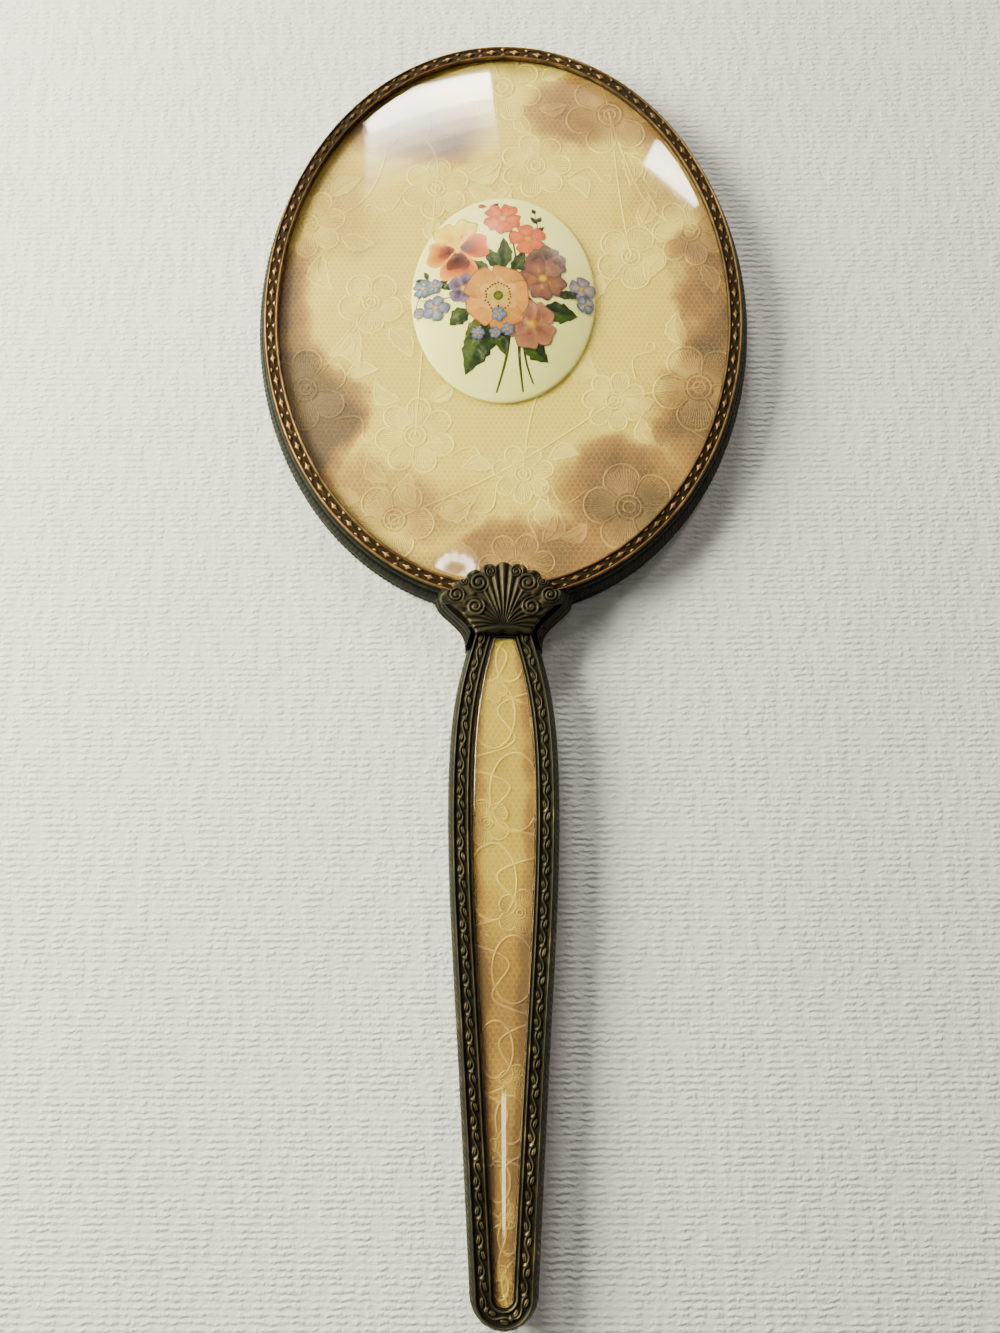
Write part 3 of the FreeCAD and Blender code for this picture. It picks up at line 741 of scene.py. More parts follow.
def build_handle_cover(side, name, node):
    """Clear cover of the handle panel: a flange, and an arch that is lower where the panel is narrow."""
    side_n, tip_n, top_n = 200, 40, 8
    count = 2 * side_n + tip_n + top_n
    profile = [(5.0, 2.64), (2.05, 2.62), (2.05, 2.98), (4.6, 2.98), (4.83, 3.04)]
    loops = [handle_loop(inset, side_n, tip_n, top_n) for inset, _ in profile]
    verts = [(x, y, MID_Z + side * z) for loop, (_, z) in zip(loops, profile) for x, y in loop]
    faces = grid_faces(len(profile), count, False, True)
    for ring, turn in ((len(profile) - 1, 1), (0, -1)):
        loop, base = loops[ring], MID_Z + side * profile[ring][1]
        arch = []
        for k in range(side_n + tip_n // 2):
            a, b = loop[k], loop[(count - top_n - k) % count]
            half = abs(a[0] - b[0]) / 2
            rise = min(0.85, 0.17 * half)
            span = [ring * count + k]
            for c in range(1, COVER_COLUMNS):
                f = c / COVER_COLUMNS
                x, y = a * (1 - f) + b * f
                span.append(len(verts))
                verts.append((x, y, base + side * rise * (1 - abs(2 * f - 1) ** 2.6)))
            span.append(ring * count + (count - top_n - k) % count)
            arch.append(span)
        for r0, r1 in zip(arch, arch[1:]):
            for c in range(COVER_COLUMNS):
                quad = [r0[c], r0[c + 1], r1[c + 1], r1[c]]
                if len(set(quad)) == 4:
                    faces.append(quad if turn * side > 0 else quad[::-1])
    add_mesh(name, verts, faces, ACETATE, node)


# ---------------------------------------------------------------- neck
def wall_inset(z):
    """Inset of the rim wall's outer face at a height."""
    return float(np.interp(z, [0, 1.6, 3.8, 8.6], [1.4, 0.2, 0.0, 2.2]))


NECK_YS = [JOINT_Y - 8.2, JOINT_Y - 4.7, JOINT_Y - 2.1, JOINT_Y + 0.5, JOINT_Y + 5.3]
NECK_XS = [7.75, 8.3, 10.5, 13.2, 14.2]
NECK_LEVELS = np.concatenate([np.linspace(1.2, 8.9, 62), [9.0, 9.12]])
NECK_CRESTS = [(2.9, 0.62), (5.25, 0.5), (7.3, 0.42)]  # height, ridge


def neck_ridge(z):
    return max(h * math.exp(-(((z - c) / 0.62) ** 2)) for c, h in NECK_CRESTS)


def neck_half_width(y, z):
    lean = 0.25 + 1.15 * float(smooth(3.5, 9.2, z)) + 0.6 * float(smooth(2.2, 1.2, z))
    return float(natural_curve(NECK_YS, NECK_XS, y)) - lean + neck_ridge(z)


def rim_edge(z):
    """Where the neck's side meets the rim wall, at a height."""
    inset = wall_inset(z) + 0.05
    low, high = NECK_YS[0], NECK_YS[-1]
    for _ in range(22):
        middle = (low + high) / 2
        x = neck_half_width(middle, z)
        edge = HEAD_Y - (HEAD_B - inset) * math.sqrt(max(0.0, 1 - (x / (HEAD_A - inset)) ** 2))
        low, high = (middle, high) if middle < edge else (low, middle)
    return low


def build_neck():
    """Flared neck: a ridged block that meets the rim, and a wing along each side of the handle's top."""
    verts, faces, relief = [], [], []

    def add_rings(rings):
        start, count = len(verts), len(rings[0])
        for ring in rings:
            verts.extend(ring)
            relief.extend(min(1.0, 0.12 + 1.1 * neck_ridge(z)) for _, _, z in ring)
        faces.extend([[v + start for v in f] for f in grid_faces(len(rings), count, False, True)])
        faces.append([start + k for k in range(count)])
        faces.append([start + (len(rings) - 1) * count + k for k in range(count)][::-1])

    edges = [rim_edge(z) for z in NECK_LEVELS]
    block = []
    for q in np.linspace(0, 1, 40):
        ys = [HANDLE_TOP + (edge - HANDLE_TOP) * q for edge in edges]
        right = [(neck_half_width(y, z), y, z) for y, z in zip(ys, NECK_LEVELS)]
        block.append(right + [(-x, y, z) for x, y, z in right[::-1]])
    add_rings(block)
    for way in (1, -1):
        wing = []
        for y in np.linspace(NECK_YS[0], HANDLE_TOP, 24)[:: way]:
            inner = float(handle_half_width(y)) + 0.05
            outer = [(way * max(neck_half_width(y, z), inner + 0.15), y, z) for z in NECK_LEVELS]
            wing.append(outer + [(way * inner, y, z) for z in NECK_LEVELS[::-1]])
        add_rings(wing)
    pts = np.array(verts)
    wear = 0.05 + 0.25 * cloud(pts[:, 0], pts[:, 1], 4, 99)
    floats = {"relief": relief, "wear": wear}
    add_mesh("neck_flare", verts, faces, BRASS_WALL, "neck_saddle", floats, flat_from=5)


# ---------------------------------------------------------------- shell badge
BADGE_FOCUS = (0.0, -2.6)
BADGE_HUB = (0.0, 2.0)
SCROLLS = [  # x, y, size, way of turning
    (5.0, 6.9, 2.3, 1),
    (5.7, 1.9, 2.2, -1),
    (9.6, 4.4, 1.9, 1),
    (2.6, 9.3, 1.3, -1),
    (8.0, 7.2, 1.2, 1),
]


def badge_outline():
    """Closed outline of the palmette, as points: nine lobes, two tips, hollow sides and a curved foot."""
    pts = []
    for lobe_index in range(9):
        for k in range(14):
            angle = -72 + 16 * (lobe_index + k / 14)
            share = min(1.0, max(0.0, (abs(angle) - 50) / 16))
            bulge = math.sin(math.pi * k / 14) ** 0.7
            radius = 12.7 + 1.4 * share - 0.55 + 0.85 * bulge
            a = math.radians(angle)
            pts.append((radius * math.sin(a), -1.5 + radius * math.cos(a)))
    right = [(11.9, 3.0), (10.6, 2.2), (9.0, 1.0), (7.6, -0.5), (6.6, -1.9), (5.95, -3.1), (5.7, -3.8)]
    foot = [(3.5, -3.5), (0.0, -3.35), (-3.5, -3.5)]
    return np.array(pts + right + foot + [(-x, y) for x, y in right[::-1]])


def badge_relief(x, y):
    """Height above the badge's plate: fan of ribs, volutes on each side, and a collar at the foot."""
    fx, fy = x - BADGE_FOCUS[0], y - BADGE_FOCUS[1]
    reach, turn = np.hypot(fx, fy), np.degrees(np.arctan2(fx, fy))
    fan = smooth(34, 24, np.abs(turn) - 3.0 * smooth(6, 13, reach))
    ribs = 0.5 + 0.5 * np.cos(2 * np.pi * turn / 9.0)
    h = fan * (0.25 + 0.75 * ribs**0.8) * smooth(1.2, 4.5, reach)
    outer = 0.5 + 0.5 * np.cos(2 * np.pi * (turn + 8) / 16.0)
    lobes_zone = smooth(8.4, 9.6, reach) * smooth(24, 34, np.abs(turn))
    h = np.maximum(h, lobes_zone * (0.35 + 0.65 * outer))
    for cx, cy, size, way in SCROLLS:
        for side in (1, -1):
            dx, dy = side * x - cx, y - cy
            r, a = np.hypot(dx, dy), np.arctan2(dy, dx) * way
            coil = (r / (size * 0.42) - a / (2 * np.pi)) % 1.0
            inside = smooth(size, size * 0.86, r)
            ridge = 1 - smooth(0.2, 0.42, np.abs(coil - 0.5))
            eye = smooth(size * 0.28, size * 0.12, r)
            h = np.where(inside > 0.02, h * (1 - inside) + inside * np.maximum(0.25 + 0.75 * ridge, eye), h)
    blades = 0.5 + 0.5 * np.cos(2 * np.pi * (np.abs(turn) - 2.6 * reach) / 12.0)
    blade_zone = smooth(22, 30, np.abs(turn)) * smooth(1.0, 2.6, reach) * smooth(12.0, 10.0, reach)
    h = np.maximum(h, 0.62 * blade_zone * blades**0.7)
    collar = smooth(-1.7, -2.2, y + 0.02 * x**2)
    groove = np.exp(-(((y + 1.9 + 0.02 * x**2) / 0.2) ** 2))
    h = h * (1 - collar) + collar * (0.42 + 0.14 * np.cos(5.0 * (y + 0.03 * x**2)))
    return np.clip(h - 0.45 * groove + 0.18 * (cloud(x, y, 0.9, 103, 3) - 0.5), 0, 1)


def build_badge():
    """Cast palmette over the joint of head and handle."""
    outline = badge_outline()
    hub = np.array(BADGE_HUB)
    around, across = 540, 74
    rel = outline - hub
    angle = np.unwrap(np.arctan2(rel[:, 0], rel[:, 1]))
    order = np.argsort(angle)
    angle, radius = angle[order], np.hypot(rel[:, 0], rel[:, 1])[order]
    turns = np.linspace(angle[0], angle[0] + 2 * np.pi, around, endpoint=False)
    reach = np.interp(turns, np.append(angle, angle[0] + 2 * np.pi), np.append(radius, radius[0]))
    verts, relief = [], []
    shares = np.concatenate([np.linspace(0.012, 0.97, across - 8), np.linspace(0.976, 1.0, 8)])
    for q in shares:
        x, y = hub[0] + q * reach * np.sin(turns), hub[1] + q * reach * np.cos(turns)
        gap = (1 - q) * reach
        h = badge_relief(x, y)
        rim = np.sqrt(np.clip(gap / 0.55, 0, 1) * (2 - np.clip(gap / 0.55, 0, 1)))
        crown = 0.55 * (1 - (np.hypot(x, (y - 3) * 1.1) / 14.0) ** 2)
        z = 9.35 + rim * (0.35 + np.clip(crown, 0, 1) + 0.5 * h)
        verts += list(zip(x, y, z))
        relief.append(np.clip(0.22 + 0.5 * h + 0.15 * smooth(0.9, 0.2, gap), 0, 1))
    verts += list(zip(hub[0] + reach * np.sin(turns), hub[1] + reach * np.cos(turns), np.full(around, 9.2)))
    relief.append(np.full(around, 0.1))
    rows = len(shares) + 1
    faces = grid_faces(rows, around, False, True)
    faces += [list(range(around))[::-1], [(rows - 1) * around + k for k in range(around)]]
    x, y = np.array(verts)[:, :2].T
    # The bright spot at the badge's left edge near its foot is a painted glint; the rest is patchy wear.
    wear = 0.10 + 0.40 * cloud(x, y, 3, 101) + 0.75 * np.exp(-(((x + 7) / 3) ** 2 + ((y + 1) / 2) ** 2))
    floats = {"relief": np.array(relief), "wear": wear}
    add_mesh(
        "palmette_badge", verts, faces, BRASS_BADGE, "shell_badge", floats, up=1, flat_from=5
    )


# ---------------------------------------------------------------- cloth and lace
def cloth_height(x, y):
    """Top of the satin: nearly flat, with a faint swell."""
    return 7.14 + 0.10 * (cloud(x, y, 17, 111, 3) - 0.5) + 0.03 * (cloud(x, y, 3, 112, 2) - 0.5)


def handle_cloth_height(x, y, side):
    swell = 0.08 * (cloud(x, y, 9, 113, 2) - 0.5)
    return MID_Z + side * (2.36 + swell)


def build_head_satin():
    """Cream satin, stretched over the card under the lace."""
    a, b = 51.2, 63.8
    rings, around = 110, 420
    t = ring_angles(around)
    q = np.linspace(0.004, 1.0, rings)[:, None]
    x, y = q * a * np.sin(t)[None], HEAD_Y + q * b * np.cos(t)[None]
    z = cloth_height(x, y)
    verts = np.stack([x, y, z], -1).reshape(-1, 3)
    faces = grid_faces(rings, around, False, True) + [list(range(around))[::-1]]
    floats = {"stain": head_stain(x, y)}
    cloth = add_mesh("satin_cloth", verts, faces, SATIN, "satin_lining", floats, up=1)


def build_handle_satin(side, name, node):
    """Satin panel of the handle, with a round end at the tip."""
    rows, columns = 300, 14
    ys = np.linspace(-4.6, -132.2, rows)
    half = np.where(ys > -127.5, handle_half_width(ys) - 2.1, 0)
    tip = np.sqrt(np.maximum(4.75**2 - (np.minimum(ys + 127.7, 0)) ** 2, 0.01))
    half = np.where(ys > -127.7, np.minimum(half, 9.2), np.minimum(tip, handle_half_width(-127.7) - 2.1))
    f = np.linspace(-1, 1, columns)
    x = half[:, None] * f[None]
    y = np.repeat(ys[:, None], columns, 1)
    z = handle_cloth_height(x, y, side)
    verts = np.stack([x, y, z], -1).reshape(-1, 3)
    floats = {"stain": handle_stain(x, y)}
    cloth = add_mesh(name, verts, grid_faces(rows, columns), HANDLE_SATIN, node, floats, up=side)


class Thread:
    """Collects lace strands as narrow ridged ribbons."""

    def __init__(self, inside, ground, lift=1.0):
        self.verts, self.faces = [], []
        self.inside, self.ground, self.lift = inside, ground, lift

    def strand(self, points, width, rise, closed=False):
        pts = np.asarray(points, float)
        if closed:
            pts = np.vstack([pts, pts[:1]])
        good = self.inside(pts[:, 0], pts[:, 1])
        way = np.gradient(pts, axis=0)
        way /= np.maximum(np.linalg.norm(way, axis=1, keepdims=True), 1e-9)
        across = np.stack([-way[:, 1], way[:, 0]], 1) * (width / 2)
        base = self.ground(pts[:, 0], pts[:, 1])
        start = len(self.verts)
        for k in range(len(pts)):
            x, y, z = pts[k, 0], pts[k, 1], base[k]
            self.verts.append((x + across[k, 0], y + across[k, 1], z + self.lift * 0.01))
            self.verts.append((x, y, z + self.lift * rise))
            self.verts.append((x - across[k, 0], y - across[k, 1], z + self.lift * 0.01))
        for k in range(len(pts) - 1):
            if good[k] and good[k + 1]:
                a = start + 3 * k
                self.faces.append((a, a + 3, a + 4, a + 1))
                self.faces.append((a + 1, a + 4, a + 5, a + 2))

    def net(self, x0, x1, y0, y1, pitch, width):
        """Hexagonal tulle ground: one flat ribbon for each side of a cell."""
        side = pitch / math.sqrt(3)
        rows = int((y1 - y0) / (1.5 * side)) + 2
        columns = int((x1 - x0) / pitch) + 2
        for i in range(rows):
            for j in range(columns):
                cx = x0 + (j + 0.5 * (i % 2)) * pitch
                cy = y0 + 1.5 * side * i
                top = (cx, cy + side)
                right = (cx + pitch / 2, cy + side / 2)
                low_right = (cx + pitch / 2, cy - side / 2)
                left = (cx - pitch / 2, cy + side / 2)
                for a, b in ((left, top), (top, right), (right, low_right)):
                    self.bar(a, b, width)

    def bar(self, a, b, width):
        xs, ys = np.array([a[0], b[0]]), np.array([a[1], b[1]])
        if not self.inside(xs, ys).all():
            return
        dx, dy = b[0] - a[0], b[1] - a[1]
        size = math.hypot(dx, dy)
        nx, ny = -dy / size * width / 2, dx / size * width / 2
        z = self.ground(xs, ys) + self.lift * 0.06
        k = len(self.verts)
        self.verts += [
            (a[0] + nx, a[1] + ny, z[0]),
            (a[0] - nx, a[1] - ny, z[0]),
            (b[0] - nx, b[1] - ny, z[1]),
            (b[0] + nx, b[1] + ny, z[1]),
        ]
        self.faces.append((k, k + 1, k + 2, k + 3))

    def flower(self, x, y, size, petals, turn, cord):
        """Scalloped flower: cord outline, cord eye, and petals filled with close threads."""
        t = ring_angles(24 * petals)
        scallop = np.abs(np.cos(petals * t / 2)) ** 0.55
        r = size * (0.60 + 0.40 * scallop)
        a = t + turn
        self.strand(np.stack([x + r * np.cos(a), y + r * np.sin(a)], 1), cord, 0.22, True)
        self.strand(np.stack([x + 0.86 * r * np.cos(a), y + 0.86 * r * np.sin(a)], 1), 0.3 * cord, 0.12, True)
        eye = ring_angles(28)
        for reach in (0.13 * size, 0.26 * size):
            loop = np.stack([x + reach * np.cos(eye), y + reach * np.sin(eye)], 1)
            self.strand(loop, cord * 0.8, 0.2, True)
        threads = int(2 * np.pi * size * 0.6 / 0.42)
        for k in range(threads):
            b = 2 * np.pi * k / threads
            if abs(math.cos(petals * b / 2)) < 0.28:
                continue
            out = size * (0.60 + 0.40 * abs(math.cos(petals * b / 2)) ** 0.55) * 0.93
            b += turn
            f = np.linspace(0.33 * size, out, 4)
            self.strand(np.stack([x + f * math.cos(b), y + f * math.sin(b)], 1), 0.24, 0.12)
        for k in range(petals):
            b = 2 * np.pi * (k + 0.5) / petals + turn
            f = np.linspace(0.27 * size, 0.62 * size, 5)
            self.strand(np.stack([x + f * math.cos(b), y + f * math.sin(b)], 1), cord * 0.7, 0.18)

    def leaf(self, x, y, size, turn, cord, bend=0.25):
        """Pointed leaf: cord outline, midrib, and slanting threads."""
        f = np.linspace(0, 1, 22)
        middle = np.stack([size * f, bend * size * np.sin(np.pi * f) * 0.6], 1)
        half = 0.26 * size * np.sin(np.pi * f**0.85) * (1 + 0.12 * np.cos(f * 28))
        c, s = math.cos(turn), math.sin(turn)

        def placed(p):
            return np.stack([x + p[:, 0] * c - p[:, 1] * s, y + p[:, 0] * s + p[:, 1] * c], 1)

        upper = middle + np.stack([np.zeros(22), half], 1)
        lower = middle - np.stack([np.zeros(22), half], 1)
        self.strand(placed(upper), cord, 0.2)
        self.strand(placed(lower), cord, 0.2)
        self.strand(placed(middle), cord * 0.7, 0.2)
        for k in range(2, 21):
            for edge in (upper, lower):
                a = middle[k]
                b = edge[min(21, k + 1)]
                self.strand(placed(np.array([a, a * 0.1 + b * 0.9])), 0.26, 0.12)

    def stem(self, points, cord, curl=True):
        """Soft curve through a few points, ending in a small curl."""
        pts = np.asarray(points, float)
        at = np.arange(len(pts))
        fine = np.linspace(0, len(pts) - 1, 16 * (len(pts) - 1))
        xs, ys = natural_curve(at, pts[:, 0], fine), natural_curve(at, pts[:, 1], fine)
        if curl:
            way = math.atan2(ys[-1] - ys[-2], xs[-1] - xs[-2])
            a = np.linspace(0, 1.6 * np.pi, 18)[1:]
            r = 1.5 * (1 - a / (2.3 * np.pi))
            cx, cy = xs[-1] - 1.5 * math.sin(way), ys[-1] + 1.5 * math.cos(way)
            xs = np.concatenate([xs, cx + r * np.sin(way + a)])
            ys = np.concatenate([ys, cy - r * np.cos(way + a)])
        self.strand(np.stack([xs, ys], 1), cord, 0.2)


def build_head_lace():
    """Lace over the head's satin: two rings of flowers with leaves and stems on tulle."""

    def inside(x, y):
        return (x / 50.6) ** 2 + ((y - HEAD_Y) / 63.2) ** 2 < 1

    lace = Thread(inside, cloth_height)
    lace.net(-51, 51, 5, 133, 1.15, 0.15)
    pick = np.random.default_rng(SEED)
    flowers = []
    for share, number, offset in ((0.60, 7, 0.35), (0.93, 10, 0.0)):
        for k in range(number):
            a = 2 * np.pi * (k + offset) / number + pick.uniform(-0.08, 0.08)
            r = share + pick.uniform(-0.03, 0.03)
            x, y = r * 48.4 * math.sin(a), HEAD_Y + r * 61.0 * math.cos(a)
            size = pick.uniform(6.4, 8.8) if share < 0.8 else pick.uniform(7.0, 10.0)
            flowers.append((x, y, size))
            lace.flower(x, y, size, int(pick.integers(5, 8)), pick.uniform(0, 6.28), 0.5)
            for _ in range(3):
                b = pick.uniform(0, 2 * np.pi)
                root = (x + size * 1.02 * math.cos(b), y + size * 1.02 * math.sin(b))
                long, turn = pick.uniform(6, 9), b + pick.uniform(-0.5, 0.5)
                lace.leaf(*root, long, turn, 0.42, pick.uniform(-0.5, 0.5))
    for k in range(len(flowers)):
        x0, y0, s0 = flowers[k]
        x1, y1, _ = flowers[(k * 5 + 3) % len(flowers)]
        if math.hypot(x1 - x0, y1 - y0) < 60:
            mx, my = (x0 + x1) / 2 + pick.uniform(-7, 7), (y0 + y1) / 2 + pick.uniform(-7, 7)
            lace.stem([(x0, y0), (mx, my), (x1, y1)], 0.42)
        a = pick.uniform(0, 2 * np.pi)
        bends = ((s0, a), (s0 + 4, a + 0.35), (s0 + 7, a + 0.15))
        lace.stem([(x0 + r * math.cos(b), y0 + r * math.sin(b)) for r, b in bends], 0.36)
    finish_lace(lace, "lace_cloth", "lace_overlay", LACE, head_stain)


def finish_lace(lace, name, node, material, stain):
    used, numbers = np.unique(np.array(lace.faces), return_inverse=True)
    pts = np.array(lace.verts)[used]
    faces = numbers.reshape(-1, 4).tolist()
    floats = {"stain": stain(pts[:, 0], pts[:, 1])}
    piece = add_mesh(name, pts, faces, material, node, floats, up=lace.lift)


def build_handle_lace(side, name, node):
    """Lace of a handle panel: loops, leaves and flowers that change sides down the handle."""

    def inside(x, y):
        return (np.abs(x) < handle_half_width(y) - 2.6) & (y > -131.5) & (y < -4.6)

    def ground(x, y):
        return handle_cloth_height(x, y, side) + side * 0.02

    lace = Thread(inside, ground, side)
    lace.net(-9, 9, -132, -4, 1.15, 0.15)
    pick = np.random.default_rng(SEED + (1 if side > 0 else 2))
    y = -9.0
    way = 1
    while y > -128:
        half = float(handle_half_width(y)) - 4.6
        size = half * 0.95
        t = np.linspace(0, 2 * np.pi, 46)
        out = way * half
        loop = np.stack([out * 0.35 + size * 0.8 * np.cos(t), y + size * 1.25 * np.sin(t)], 1)
        lace.strand(loop, 0.5, 0.22)
        bends = [(-out * 1.3, y + 5), (out * 0.2, y + 1), (-out * 0.4, y - 5), (out * 1.3, y - 9)]
        lace.stem(bends, 0.5, False)
        turn = -1.2 * way - math.pi / 2 + pick.uniform(-0.4, 0.4)
        lace.leaf(-out * 0.9, y - 1, size * 1.5, turn, 0.42)
        if pick.random() > 0.4:
            lace.flower(-out * 0.5, y - 6, size * 0.75, 5, pick.uniform(0, 6), 0.42)
        y -= size * 2.3 + 3
        way = -way
    finish_lace(lace, name, node, HANDLE_LACE, handle_stain)


# ---------------------------------------------------------------- clear dome
def cap_height(radius, rise, r):
    """Height of a ball's cap of a given radius and rise, at a distance from its middle."""
    ball = (radius * radius + rise * rise) / (2 * rise)
    return np.sqrt(np.maximum(ball * ball - r * r, 0)) - (ball - rise)


DOME_WALL = 0.52
FLANGE_WIDTH = 1.9


def build_dome():
    """Thin clear shell over the back of the head, with its flange under the bezel."""
    around = 400
    flange = 1.0 + FLANGE_WIDTH / DOME_A
    shares = np.linspace(0.985, 0.02, 40)
    outer = [(flange, 8.08), (1.0, DOME_Z)]
    outer += [(q, DOME_Z + float(cap_height(DOME_A, DOME_RISE, q * DOME_A))) for q in shares]
    inner = [(q, z - DOME_WALL) for q, z in outer[:0:-1]] + [(flange, 7.56)]
    ordered = inner + outer
    t = ring_angles(around)
    verts = [(q * DOME_A * math.cos(a), HEAD_Y + q * DOME_B * math.sin(a), z) for q, z in ordered for a in t]
    faces = grid_faces(len(ordered), around, False, True)
    crown = DOME_Z + DOME_RISE
    verts += [(0, HEAD_Y, crown - DOME_WALL), (0, HEAD_Y, crown)]
    last = (len(ordered) - 1) * around
    for k in range(around):
        faces.append([(k + 1) % around, k, len(verts) - 2])
        faces.append([last + k, last + (k + 1) % around, len(verts) - 1])
    add_mesh("dome_cover", verts, faces, ACETATE, "head_cover")


# ---------------------------------------------------------------- mirror
SILVER_BITE = 0.03


def build_silvering():
    """Reflecting coat, let a hair into the back of the glass so that the two don't share a face."""
    low, high = (np.array(corner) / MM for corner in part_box("mirror_silvering"))
    middle, half = (low + high) / 2, (high - low) / 2
    around = 240
    t = ring_angles(around)
    x, y = middle[0] + half[0] * np.sin(t), middle[1] + half[1] * np.cos(t)
    verts = [p for z in (low[2] - SILVER_BITE, high[2]) for p in zip(x, y, np.full(around, z))]
    faces = grid_faces(2, around, False, True, True)
    faces += [list(range(around)), [around + k for k in range(around)][::-1]]
    add_mesh("mirror_coat", verts, faces, SILVER, "mirror_silvering", flat_from=3)


# ---------------------------------------------------------------- cabochon and its flowers
def cabochon_surface(x, y):
    """Height of the cabochon's face at a place measured from its centre."""
    return CAB_Z + cap_height(CAB_A, CAB_RISE, np.hypot(x, np.asarray(y) * CAB_A / CAB_B))


def build_cabochon():
    """Oval stone with a domed face and a narrow girdle."""
    rings, around = 56, 200
    t = ring_angles(around)
    verts = []
    for q in np.linspace(0.01, 0.985, rings):
        x, y = q * CAB_A * np.sin(t), q * CAB_B * np.cos(t)
        verts += list(zip(x, CAB_Y + y, cabochon_surface(x, y)))
    for q, z in ((0.993, 7.98), (0.998, 7.85), (1.0, 7.7), (1.0, 7.5)):
        verts += list(zip(q * CAB_A * np.sin(t), CAB_Y + q * CAB_B * np.cos(t), np.full(around, z)))
    rows = rings + 4
    faces = grid_faces(rows, around, False, True)
    faces += [list(range(around))[::-1], [(rows - 1) * around + k for k in range(around)]]
    add_mesh("porcelain_cabochon", verts, faces, PORCELAIN, "cabochon", up=1)


class Paint:
    """Collects painted shapes as thin patches that follow the cabochon's face, each with its own colours."""

    STEP = 0.0011

    def __init__(self):
        self.verts, self.faces, self.ink = [], [], []
        self.layer = 0.010
        self.pick = np.random.default_rng(SEED + 9)

    def patch(self, outline, centre, inner, outer, rings=6, power=1.0, streak=0.10, lift=True):
        outline, centre = np.asarray(outline, float), np.asarray(centre, float)
        inner, outer = np.array(inner), np.array(outer)
        count = len(outline)
        self.layer += self.STEP * lift
        start = len(self.verts)
        wash = 1 + streak * (self.pick.random(count) - 0.5) * 2
        wash = (wash + np.roll(wash, 1)) / 2
        for k in range(rings + 1):
            q = k / rings
            pts = centre + (0.02 + 0.98 * q) * (outline - centre)
            z = cabochon_surface(pts[:, 0], pts[:, 1]) + self.layer
            shade = inner + (outer - inner) * q**power
            for (x, y), h, w in zip(pts, z, wash):
                self.verts.append((x, CAB_Y + y, h))
                self.ink.append(np.clip(shade * (1 + (w - 1) * min(1.0, 2 * q)), 0, 1))
        for f in grid_faces(rings + 1, count, False, True):
            self.faces.append([v + start for v in f])
        self.faces.append([start + k for k in range(count)])

    def petal(self, x, y, angle, length, width, inner, outer, notch=0.0, power=1.0, wave=0.05):
        t = ring_angles(30)
        u = length * (1 - np.cos(t)) / 2
        share = u / length
        v = width / 2 * np.sin(t) * (0.35 + 0.75 * share)
        dent = notch * np.exp(-((v / (0.22 * width)) ** 2)) * (share > 0.8)
        u = u * (1 + wave * np.sin(5 * t + x)) - dent
        c, s = math.sin(angle), math.cos(angle)
        outline = np.stack([x + u * c + v * s, y + u * s - v * c], 1)
        middle = (x + 0.35 * length * c, y + 0.35 * length * s)
        self.patch(outline, middle, inner, outer, 6, power)

    def stroke(self, points, width, first, last, taper=0.7, lift=True):
        pts = np.asarray(points, float)
        at = np.arange(len(pts))
        fine = np.linspace(0, len(pts) - 1, 8 * (len(pts) - 1) + 1)
        if len(pts) > 2:
            pts = np.stack([natural_curve(at, pts[:, 0], fine), natural_curve(at, pts[:, 1], fine)], 1)
        way = np.gradient(pts, axis=0)
        way /= np.maximum(np.linalg.norm(way, axis=1, keepdims=True), 1e-9)
        self.layer += self.STEP * lift
        start, n = len(self.verts), len(pts)
        for k in range(n):
            f = k / (n - 1)
            half = width / 2 * (1 - taper * f)
            for sign in (1, -1):
                x, y = pts[k, 0] - sign * way[k, 1] * half, pts[k, 1] + sign * way[k, 0] * half
                self.verts.append((x, CAB_Y + y, float(cabochon_surface(x, y)) + self.layer))
                self.ink.append(np.array(first) * (1 - f) + np.array(last) * f)
        for k in range(n - 1):
            a = start + 2 * k
            self.faces.append([a, a + 1, a + 3, a + 2])

    def dot(self, x, y, r, inner, outer, lift=True):
        t = ring_angles(10)
        edge = np.stack([x + r * np.cos(t), y + r * np.sin(t)], 1)
        self.patch(edge, (x, y), inner, outer, 2, 1.0, 0.05, lift)

    def flower(self, x, y, size, petals, turn, inner, outer, eye, width=1.0, notch=0.3, veins=None):
        """Open flower: a darker under-petal gives each petal its edge, then the petal, veins and eye."""
        edge = tuple(0.62 * c for c in outer)
        for k in range(petals):
            a = turn + 2 * math.pi * k / petals + self.pick.uniform(-0.08, 0.08)
            reach = size * self.pick.uniform(0.92, 1.05)
            broad = width * 2 * size * math.sin(math.pi / petals)
            tint = self.pick.uniform(0.9, 1.08)
            tinted = tuple(min(1.0, c * tint) for c in outer)
            self.petal(x, y, a, reach * 1.04, broad * 1.06, inner, edge, notch, 1.6)
            self.petal(x, y, a, reach, broad, inner, tinted, notch, 0.8)
            for j in (-1, 0, 1):
                b = a + 0.22 * j
                tip = (x + 0.72 * reach * math.sin(b), y + 0.72 * reach * math.cos(b))
                root = (x + 0.16 * reach * math.sin(a), y + 0.16 * reach * math.cos(a))
                self.stroke([root, tip], 0.035 * size + 0.06, veins or edge, tinted, 0.9, j < 0)
        self.dot(x, y, 0.2 * size, eye, tuple(0.6 * c for c in eye))

    def leaf(self, x, y, angle, length, width, dark, light, teeth=0):
        t = np.linspace(0, 1, 16)
        half = width / 2 * np.sin(np.pi * t**0.85)
        if teeth:
            half = half * (1 - 0.28 * ((t * teeth) % 1.0))
        c, s = math.sin(angle), math.cos(angle)

        def placed(u, v):
            return np.stack([x + u * c + v * s, y + u * s - v * c], 1)

